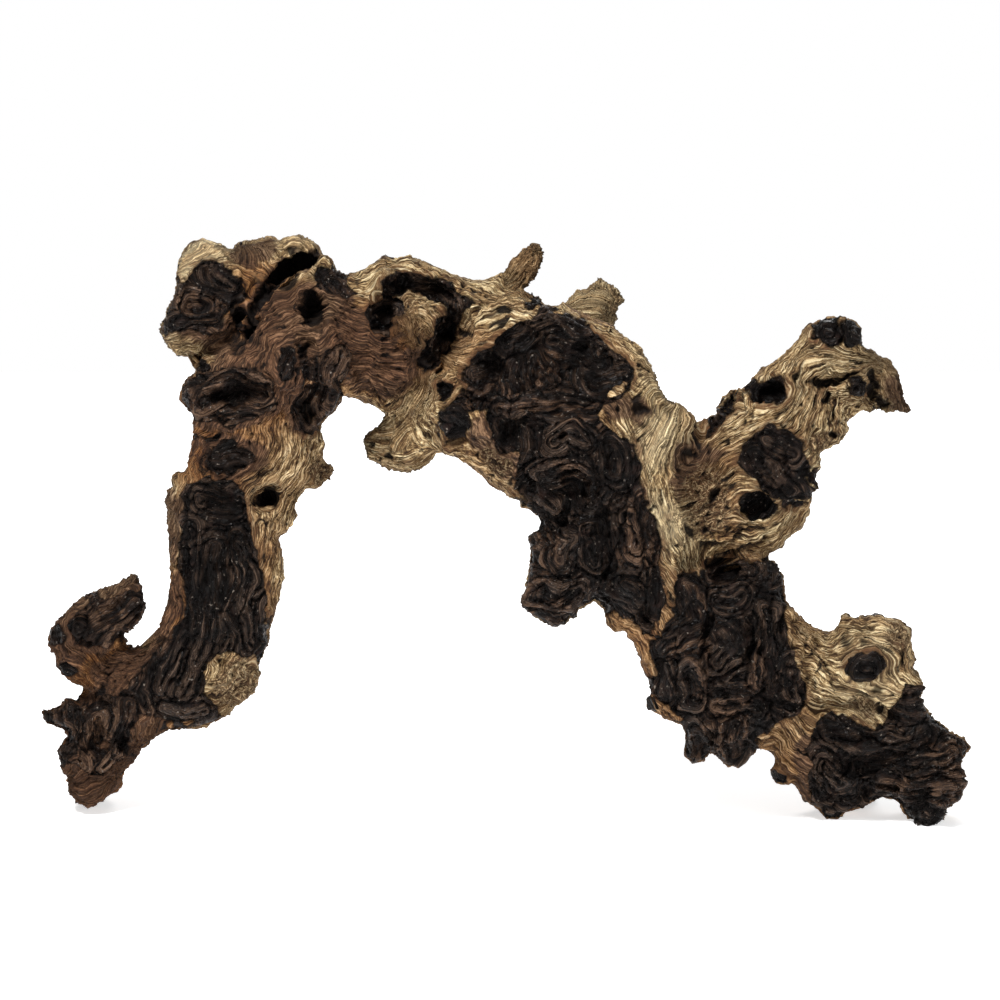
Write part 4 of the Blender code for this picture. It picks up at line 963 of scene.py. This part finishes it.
    knobs = np.abs(noise(swirl, 6.0, 1))
    wild = np.abs(strands(4.0, 26, 0)) * (0.45 + 0.55 * np.minimum(knobs / 0.5, 1)) + 0.3 * knobs
    wild = np.clip(wild + 0.2 * np.abs(strands(1.8, 14, 1)), 0, 1.3)
    count += noise(front, 11, 0, 0.1) * 0.2 + noise(front, 2.6, 1, 0.1) * 0.03
    wave = np.abs(np.sin(math.pi * count))
    seams = bell(seam, 0, 0.8)
    tame = np.clip(wave**0.6 * (0.9 + 0.12 * noise(front, 6, 2, 0.5)) - 0.7 * seams, 0, 1.2)
    loose = 0.25 + 0.75 * ease(-0.8, 0.8, noise(front, 19, 1, 0.7))
    folds = np.where(nested, tame + (wild - tame) * loose, wild)
    # The folds' tops: the finish paints them lighter and their hollows darker, as painted light and shade
    tops = wave * (0.8 + 0.25 * noise(front, 9, 1, 0.2)) - seams * 0.5
    fold_tops_painted_shading = np.where(nested, tops + (wild * 0.85 - tops) * loose, wild * 0.8)
    fold_tops_painted_shading = fold_tops_painted_shading * (1 - 0.45 * knots * facing)
    crust = 0.35 + 1.3 * ease(-0.3, 1.0, noise(front, 21, 2, 0.4))
    crumbs = (np.abs(noise(front, 3.1, 2, 0.2)) * 0.45 + np.abs(noise(front, 1.9, 0, 0.9)) * 0.25) * crust
    fold_height = folds * 2.9 - 2.3 + crumbs - 0.3

    # The strands, grooves, worm tracks and lacy patches of the sapwood
    strand_wide = strands(5.5, 48, 2)
    strand_fine = strands(1.35, 16, 1, 0.5)
    worm = ease(1.35, 2.0, strands(2.0, 5, 0, 0.7)) * (1 - heart)
    strand_mid = -np.abs(strands(2.1, 20, 1, 0.3)) * 0.6
    lace = np.zeros(len(front), np.float32)
    for across, up, width, height, turn in LACES:
        distance = oval_distance(ragged, (across, up), width, height, turn)
        lace = np.maximum(lace, 1 - ease(0.7, 1.15, distance))
    crumbled = np.abs(noise(front, 2.8, 1, 0.4)) + 0.6 * np.abs(noise(front, 1.7, 2, 0.4))
    grooves = bell(strands(3.0, 30, 2, 0.2), 0, 0.15) * ease(-0.3, 0.9, noise(front, 9, 1, 0.1))
    sap_height = strand_wide * 0.3 + strand_fine * 0.3 + strand_mid - worm * 1.5 - grooves * 1.1
    sap_height += noise(front, 3.4, 2, 0.6) * 0.3 + noise(front, 2.0, 0) * 0.2
    sap_height += lace * open_front * (crumbled * 1.3 - 1.9)

    # All the relief together: the pale wood's lip stands over the dark wood
    lip = bell(bare, -1.6, 1.3) * 0.9 - ease(-0.4, 1.2, bare) * 1.1
    calm = 0.35 + 0.65 * ease(0.05, 0.5, np.abs(normals[:, 2]))
    lumps = noise(front, 15, 2) * 0.8 + noise(front, 7.5, 0, 0.3) * 0.45
    swells = np.zeros(len(front), np.float32)
    for across, up, width, height, turn, rise in FORMS:
        distance = oval_distance(ragged, (across, up), width, height, turn)
        swells += rise * (1 - ease(0.25, 1.25, distance))
    swells *= ease(0.15, 0.6, normals[:, 2])
    relief = sap_height * (1 - heart) + fold_height * heart
    height = lumps * calm + lip + relief * (0.5 + 0.5 * calm) + knot_rings * 0.35
    height += hole_rim * 0.6 - cracks * 0.8 - GROWTH
    front = front + normals * height[:, None]
    front[:, 2] += swells - holes * 0.8 + back_holes * 0.8
    low = to_row(front)
    low[:, 2] = np.maximum(low[:, 2], 0.0)
    front = to_front(low)
    move_skin(mesh, front)

    # How pale the sapwood is, and what else the finish needs
    tone_total = np.full(len(front), 0.15)
    tone = noise(front, 40, 2, 0.8) * 0.05
    for across, up, reach, value in TONES:
        gap = front[:, :2] - picture((across, up))
        weight = np.exp(-((gap**2).sum(1) / (reach * POINT * 1.2) ** 2))
        tone_total += weight
        tone = tone + weight * value
    tone = tone / tone_total
    worm += lace * open_front * bell(crumbled, 0, 0.35) * (1 - heart)
    shallow = ease(-1.2, 1.0, noise(front, 12, 1, 0.35))
    # Painted shade: this mask darkens the colour in the folds' hollows, worm tracks, lacy patches, grooves,
    # holes and cracks
    deep_folds = bell(folds, 0, 0.32 + 0.24 * shallow) * heart * (0.75 + 0.25 * shallow)
    crevice_painted_shade = deep_folds + worm + grooves * 0.75 * (1 - heart)
    crevice_painted_shade = crevice_painted_shade + np.minimum((holes + back_holes) / 2.5, 1) + cracks / 3
    rust = bell(bare, -0.8, 1.8) * np.clip(0.5 + 0.45 * drift[:, 0], 0, 1) + hole_rim * 0.4
    return {
        "main_strands": main,
        "side_strands": side,
        "side_share": branch,
        "bare": bare,
        "crevice_painted_shade": np.clip(crevice_painted_shade, 0, 1),
        # painted light and shade on the heartwood's folds: high on their crests, low in their hollows
        "fold": np.clip(fold_tops_painted_shading, 0, 1) * heart,
        "umber": umber,
        "lace": lace * open_front * (1 - heart),
        "tone": tone,
        "rust": rust,
    }


def limb_of(spots):
    """The number in LIMBS of the limb that each place of the front belongs to."""
    u, v = spots[:, 0], spots[:, 1]

    def beyond(start, end):
        """Whether each place lies to the right of the line, looking from its start to its end."""
        return (end[0] - start[0]) * (v - start[1]) - (end[1] - start[1]) * (u - start[0]) < 0

    number = np.full(len(spots), LIMBS.index("centre_burl"))
    right_of_leg = ~beyond((-86, 300), (-76, 196))
    past_crown = beyond((-70, 207.5), (12, 300))
    number[right_of_leg & ~past_crown] = LIMBS.index("crown")
    number[~right_of_leg & (u < -60)] = LIMBS.index("left_leg")
    number[~right_of_leg & (u < -60) & (v > 212)] = LIMBS.index("left_elbow")
    outer_left = beyond((-171.5, 112), (-160, 30)) & (u < -158) & (v < 130)
    number[outer_left] = LIMBS.index("left_toe")
    number[outer_left & ~beyond((-232, 62), (-168.5, 93))] = LIMBS.index("left_prong")
    lower = beyond((92.5, 136), (160, 134))
    number[~lower & beyond((93.4, 135.4), (99, 216)) & (u > 88)] = LIMBS.index("right_arm")
    below = lower & beyond((50, 86), (100.6, 136.6))
    number[below & (u > 50)] = LIMBS.index("right_block")
    number[lower & (u > 120) & ~beyond((166, 114), (126, 30))] = LIMBS.index("right_foot")
    number[(number == LIMBS.index("centre_burl")) & (v < 164) & (u < 72)] = LIMBS.index("burl_lobe")
    return number


def boundary_loops(faces):
    """Closed runs of points round the open edges of some faces."""
    sides = faces.shape[1]
    edges = np.concatenate([faces[:, [i, (i + 1) % sides]] for i in range(sides)])
    keys = edges[:, 0].astype(np.int64) * (1 << 32) + edges[:, 1]
    back = edges[:, 1].astype(np.int64) * (1 << 32) + edges[:, 0]
    open_edges = edges[~np.isin(keys, back)]
    follow = {}
    for start, end in open_edges:
        follow.setdefault(int(start), []).append(int(end))
    loops = []
    while follow:
        first = next(iter(follow))
        loop = [first]
        while True:
            ends = follow[loop[-1]]
            end = ends.pop()
            if not ends:
                del follow[loop[-1]]
            if end == first:
                break
            loop.append(end)
        loops.append(loop)
    return loops


def limb_piece(name, places, faces, finish, values):
    """One limb of the skin as a closed piece, with the finish's values at its points."""
    used, numbers = np.unique(faces, return_inverse=True)
    faces = numbers.reshape(faces.shape)
    spots = places[used]
    loops = boundary_loops(faces)
    caps, centres = [], []
    for loop in loops:
        centre = len(spots) + len(centres)
        centres.append(spots[loop].mean(0))
        caps += [(loop[(i + 1) % len(loop)], loop[i], centre) for i in range(len(loop))]
    caps = np.array(caps, int).reshape(-1, 3)
    triangles = np.concatenate([faces[:, [0, 1, 2]], faces[:, [0, 2, 3]], caps])
    spots = np.concatenate([spots, np.array(centres).reshape(-1, 3)])
    piece_mesh = new_mesh(name, spots, triangles)
    edge_points = np.zeros(len(spots), bool)
    edge_points[[number for loop in loops for number in loop]] = True
    sharp = edge_points[read_all(piece_mesh.edges, "vertices", 2, np.int32)].all(1)
    piece_mesh.shade_smooth()
    piece_mesh.attributes.new("sharp_edge", "BOOLEAN", "EDGE").data.foreach_set("value", sharp)
    for key, value in values.items():
        value = value[used]
        filler = np.zeros((len(centres),) + value.shape[1:], np.float32)
        value = np.concatenate([value, filler]).astype(np.float32)
        kind, item = ("FLOAT_VECTOR", "vector") if value.ndim == 2 else ("FLOAT", "value")
        piece_mesh.attributes.new(key, kind, "POINT").data.foreach_set(item, value.ravel())
    piece_mesh.materials.append(finish)
    piece = bpy.data.objects.new(name + "_skin", piece_mesh)
    bpy.context.scene.collection.objects.link(piece)
    node = STANDS_FOR.get(name, name)
    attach(piece, "root")
    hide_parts(node)


class Finish:
    """Builds a material's nodes from left to right."""

    def __init__(self, name):
        self.material = bpy.data.materials.new(name)
        self.material.use_nodes = True
        self.tree = self.material.node_tree
        self.shader = self.tree.nodes["Principled BSDF"]

    def node(self, kind, **settings):
        node = self.tree.nodes.new(kind)
        for key, value in settings.items():
            setattr(node, key, value)
        return node

    def link(self, source, target):
        self.tree.links.new(source, target)

    def plug(self, value, socket):
        if isinstance(value, bpy.types.NodeSocket):
            self.link(value, socket)
        else:
            socket.default_value = value

    def attribute(self, name, output="Fac"):
        return self.node("ShaderNodeAttribute", attribute_name=name).outputs[output]

    def maths(self, operation, first, second=0.0, clamp=False):
        node = self.node("ShaderNodeMath", operation=operation, use_clamp=clamp)
        self.plug(first, node.inputs[0])
        self.plug(second, node.inputs[1])
        return node.outputs[0]

    def total(self, *shares):
        """The sum of some values, each times its share."""
        parts = [self.maths("MULTIPLY", value, share) for value, share in shares]
        found = parts[0]
        for part in parts[1:]:
            found = self.maths("ADD", found, part)
        return found

    def off_middle(self, value):
        """How far a noise is from its middle."""
        return self.maths("ABSOLUTE", self.maths("SUBTRACT", value, 0.5))

    def stretch(self, vector, scale):
        node = self.node("ShaderNodeVectorMath", operation="MULTIPLY")
        self.plug(vector, node.inputs[0])
        node.inputs[1].default_value = scale
        return node.outputs[0]

    def noise(self, vector, scale, detail=2.0, roughness=0.5, distortion=0.0):
        node = self.node("ShaderNodeTexNoise")
        self.link(vector, node.inputs["Vector"])
        node.inputs["Scale"].default_value = scale
        node.inputs["Detail"].default_value = detail
        node.inputs["Roughness"].default_value = roughness
        node.inputs["Distortion"].default_value = distortion
        return node.outputs["Fac"]

    def mix(self, share, first, second):
        node = self.node("ShaderNodeMix", data_type="FLOAT")
        self.plug(share, node.inputs[0])
        self.plug(first, node.inputs[2])
        self.plug(second, node.inputs[3])
        return node.outputs[0]

    def colour_mix(self, share, first, second, blend="MIX"):
        node = self.node("ShaderNodeMix", data_type="RGBA", blend_type=blend)
        self.plug(share, node.inputs[0])
        self.plug(first, node.inputs[6])
        self.plug(second, node.inputs[7])
        return node.outputs[2]

    def tint(self, colour, by):
        return self.colour_mix(1.0, colour, by, "MULTIPLY")

    def ramp(self, value, stops):
        node = self.node("ShaderNodeValToRGB")
        self.link(value, node.inputs[0])
        elements = node.color_ramp.elements
        while len(elements) < len(stops):
            elements.new(0.5)
        for element, (place, colour) in zip(elements, stops):
            element.position = place
            element.color = (*colour, 1)
        return node.outputs[0]

    def span(self, value, low, high, to_low=0.0, to_high=1.0):
        node = self.node("ShaderNodeMapRange", interpolation_type="SMOOTHSTEP")
        self.link(value, node.inputs[0])
        for i, number in enumerate((low, high, to_low, to_high), 1):
            node.inputs[i].default_value = number
        return node.outputs[0]


def mopani_finish():
    """Pale stranded sapwood and dark waxy heartwood, told apart by the skin's own values."""
    f = Finish("mopani_wood")
    where = f.node("ShaderNodeTexCoord").outputs["Object"]
    share = f.attribute("side_share")

    def strands(across, along, detail, seed=0.0):
        """Noise drawn out along the limbs, in 1/mm."""
        scale = (1 / across, 1 / across, 1 / along)
        values = []
        for name in ("main_strands", "side_strands"):
            vector = f.stretch(f.attribute(name, "Vector"), scale)
            if seed:
                shifted = f.node("ShaderNodeVectorMath", operation="ADD")
                f.link(vector, shifted.inputs[0])
                shifted.inputs[1].default_value = (seed, seed * 2, seed * 3)
                vector = shifted.outputs[0]
            values.append(f.noise(vector, 1.0, detail, 0.62))
        return f.mix(share, values[0], values[1])

    fine = strands(0.62, 8, 4.0)
    hair = strands(0.2, 2.5, 2.0, 17.0)
    wide = strands(1.3, 26, 3.0, 5.0)
    broad = strands(7, 80, 2.0, 11.0)
    speckle = f.noise(where, 900, 3.0, 0.6)
    mottle = f.noise(where, 120, 4.0, 0.65)
    names = ("bare", "crevice_painted_shade", "fold", "tone", "rust", "umber", "lace")
    bare, crevice_painted_shade, fold, tone, rust, umber, lace = map(f.attribute, names)

    veins = f.span(f.off_middle(strands(2.0, 34, 2.0, 23.0)), 0.008, 0.026, 0.8, 0.0)
    threads = f.span(f.off_middle(strands(0.9, 12, 2.0, 31.0)), 0.006, 0.03, 0.5, 0.0)
    veins = f.maths("MAXIMUM", veins, threads)
    edge = f.maths("ADD", bare, f.maths("MULTIPLY", f.maths("SUBTRACT", fine, 0.5), 2.6))
    heart = f.span(edge, -0.35, 0.45)

    # The sapwood: cream to red-brown by its tone, with stains, rusty rims and lacy patches
    grain = f.total((fine, 0.5), (wide, 0.2), (hair, 0.2), (speckle, 0.1))
    sap = f.ramp(grain, [
        (0.41, (0.012, 0.006, 0.003)), (0.45, (0.065, 0.034, 0.014)), (0.485, (0.18, 0.113, 0.050)),
        (0.525, (0.42, 0.30, 0.15)), (0.58, (0.78, 0.645, 0.40)),
    ])
    cream = f.colour_mix(0.3, f.tint(sap, (1.22, 1.21, 1.18, 1)), (0.66, 0.58, 0.38, 1))
    brown = f.tint(sap, (0.50, 0.30, 0.19, 1))
    sap = f.colour_mix(f.span(tone, 0.0, 1.0), sap, cream)
    sap = f.colour_mix(f.span(tone, 0.1, -0.9), sap, brown)
    stain = f.maths("MULTIPLY", f.span(broad, 0.45, 0.66), 0.5)
    sap = f.colour_mix(stain, sap, f.tint(sap, (0.55, 0.38, 0.26, 1)))
    patch = f.maths("MULTIPLY", f.span(mottle, 0.52, 0.72), 0.5)
    sap = f.colour_mix(patch, sap, (0.20, 0.115, 0.055, 1))
    sap = f.colour_mix(f.maths("MULTIPLY", rust, 0.72, True), sap, (0.10, 0.045, 0.020, 1))
    tan = f.ramp(grain, [
        (0.40, (0.004, 0.002, 0.001)), (0.46, (0.022, 0.0105, 0.0062)), (0.52, (0.066, 0.032, 0.0185)),
        (0.60, (0.20, 0.107, 0.061)),
    ])
    sap = f.colour_mix(f.maths("MULTIPLY", umber, 0.85), sap, tan)
    web = f.span(f.off_middle(f.noise(where, 300, 1.0, 0.5, 0.8)), 0.008, 0.05)
    web_colour = f.colour_mix(web, (0.46, 0.33, 0.18, 1), (0.07, 0.036, 0.018, 1))
    sap = f.colour_mix(f.maths("MULTIPLY", lace, 0.75), sap, web_colour)
    sap = f.colour_mix(veins, sap, (0.030, 0.015, 0.007, 1))

    # The heartwood: nearly black in its folds, painted lighter on the folds' crests and darker in their
    # hollows as painted light and shade, warmer where it is brown, with small pale painted highlights
    texture = f.maths("MULTIPLY", f.maths("SUBTRACT", grain, 0.5), 2.2)
    # Painted light and shade: the folds' crests come out lighter and their hollows darker, on top of the
    # grain
    grain_and_painted_fold_shading = f.maths("ADD", f.maths("MULTIPLY", fold, 0.52), f.maths("ADD", texture, 0.20))
    dark = f.ramp(grain_and_painted_fold_shading, [
        (0.15, (0.0005, 0.0003, 0.0002)), (0.38, (0.0026, 0.0015, 0.0011)), (0.56, (0.0082, 0.0047, 0.0032)),
        (0.70, (0.025, 0.0150, 0.0100)), (0.86, (0.095, 0.060, 0.041)),
    ])
    red = f.maths("MULTIPLY", f.span(mottle, 0.52, 0.75), 0.4)
    dark = f.colour_mix(red, dark, (0.030, 0.0115, 0.0072, 1))
    warm = f.ramp(grain_and_painted_fold_shading, [
        (0.15, (0.0012, 0.0007, 0.0005)), (0.42, (0.0085, 0.0046, 0.0029)), (0.62, (0.034, 0.0178, 0.0108)),
        (0.80, (0.145, 0.083, 0.050)),
    ])
    dark = f.colour_mix(f.maths("MULTIPLY", umber, 0.8), dark, warm)
    # Painted highlights: sparse small pale specks on the heartwood stand in for its waxy glints
    painted_glint = f.maths("MULTIPLY", f.span(f.noise(where, 560, 2.0, 0.5), 0.67, 0.73), 0.8)
    dark = f.colour_mix(painted_glint, dark, (0.24, 0.20, 0.165, 1))

    colour = f.colour_mix(heart, sap, dark)
    # Painted shade: the hollows, holes and cracks marked by the mask are darkened to near black
    shade = f.mix(heart, 0.95, 0.8)
    colour = f.colour_mix(f.maths("MULTIPLY", crevice_painted_shade, shade, True), colour, (0.003, 0.0018, 0.0014, 1))
    f.link(colour, f.shader.inputs["Base Color"])
    f.shader.inputs["Specular IOR Level"].default_value = 0.13

    matt = f.span(speckle, 0.3, 0.7, 0.62, 0.86)
    waxy = f.span(mottle, 0.35, 0.65, 0.28, 0.55)
    f.link(f.mix(heart, matt, waxy), f.shader.inputs["Roughness"])

    ridges = f.maths("MULTIPLY", f.span(f.off_middle(wide), 0.0, 0.10), heart)
    relief = f.total((fine, 0.5), (wide, 0.6), (speckle, 0.3), (ridges, 0.6))
    bump = f.node("ShaderNodeBump")
    bump.inputs["Strength"].default_value = 1.0
    bump.inputs["Distance"].default_value = 0.002
    f.link(relief, bump.inputs["Height"])
    f.link(bump.outputs[0], f.shader.inputs["Normal"])
    return f.material


def add_floor():
    """A white floor that glows a little, so that it melts into the background."""
    places = np.array(FLOOR_CORNERS, float)
    floor = bpy.data.objects.new("floor", new_mesh("floor", places, np.array([(0, 1, 2, 3)])))
    material = bpy.data.materials.new("floor_white")
    material.use_nodes = True
    shader = material.node_tree.nodes["Principled BSDF"]
    shader.inputs["Base Color"].default_value = (FLOOR_WHITE, FLOOR_WHITE, FLOOR_WHITE, 1)
    shader.inputs["Roughness"].default_value = 0.9
    shader.inputs["Emission Color"].default_value = (1, 1, 1, 1)
    shader.inputs["Emission Strength"].default_value = FLOOR_GLOW
    floor.data.materials.append(material)
    bpy.context.scene.collection.objects.link(floor)


def add_camera():
    """Looks down on the front from 12 degrees above, so that a picture point is half a mm."""
    back = Vector((0, -math.cos(TILT), math.sin(TILT)))
    target = Vector(to_row(np.array([[0.0, CAMERA_AIM_UP, 0.0]]))[0])
    camera = bpy.data.objects.new("camera", bpy.data.cameras.new("camera"))
    camera.data.sensor_width = CAMERA_SENSOR
    camera.data.lens = CAMERA_SENSOR * CAMERA_DISTANCE / (PICTURE_POINTS * POINT * MM)
    camera.location = target + back * CAMERA_DISTANCE
    camera.rotation_euler = (-back).to_track_quat("-Z", "Y").to_euler()
    camera.data.clip_end = CAMERA_CLIP
    bpy.context.scene.collection.objects.link(camera)
    bpy.context.scene.camera = camera


def add_light(name, place, size, power):
    light = bpy.data.lights.new(name, "AREA")
    light.shape = "SQUARE"
    light.size = size
    light.energy = power
    lamp = bpy.data.objects.new(name, light)
    lamp.location = place
    aim = Vector(LIGHTS_AIM) - Vector(place)
    lamp.rotation_euler = aim.to_track_quat("-Z", "Y").to_euler()
    bpy.context.scene.collection.objects.link(lamp)


def add_studio():
    """Soft light from all round on a white background, and three lamps."""
    world = bpy.data.worlds.new("studio")
    world.use_nodes = True
    nodes, links = world.node_tree.nodes, world.node_tree.links
    soft, white = nodes["Background"], nodes.new("ShaderNodeBackground")
    soft.inputs["Color"].default_value = (1, 1, 1, 1)
    soft.inputs["Strength"].default_value = SKY_STRENGTH
    white.inputs["Color"].default_value = (1, 1, 1, 1)
    seen = nodes.new("ShaderNodeMixShader")
    links.new(nodes.new("ShaderNodeLightPath").outputs["Is Camera Ray"], seen.inputs[0])
    links.new(soft.outputs[0], seen.inputs[1])
    links.new(white.outputs[0], seen.inputs[2])
    links.new(seen.outputs[0], nodes["World Output"].inputs["Surface"])
    bpy.context.scene.world = world
    bpy.context.scene.view_settings.view_transform = "Standard"
    for name, (place, size, power) in LIGHTS.items():
        add_light(name, place, size, power)


def main():
    finish = mopani_finish()
    mesh = wood_skin()
    values = wood_relief(mesh)
    places = read_all(mesh.vertices, "co", 3)
    faces = read_all(mesh.loops, "vertex_index", 1, np.int32).reshape(-1, 4)
    number = limb_of(to_front(places[faces].mean(1)))
    for i, name in enumerate(LIMBS):
        limb_piece(name, places, faces[number == i], finish, values)
    bpy.data.meshes.remove(mesh)
    add_floor()
    add_camera()
    add_studio()
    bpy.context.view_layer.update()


main()
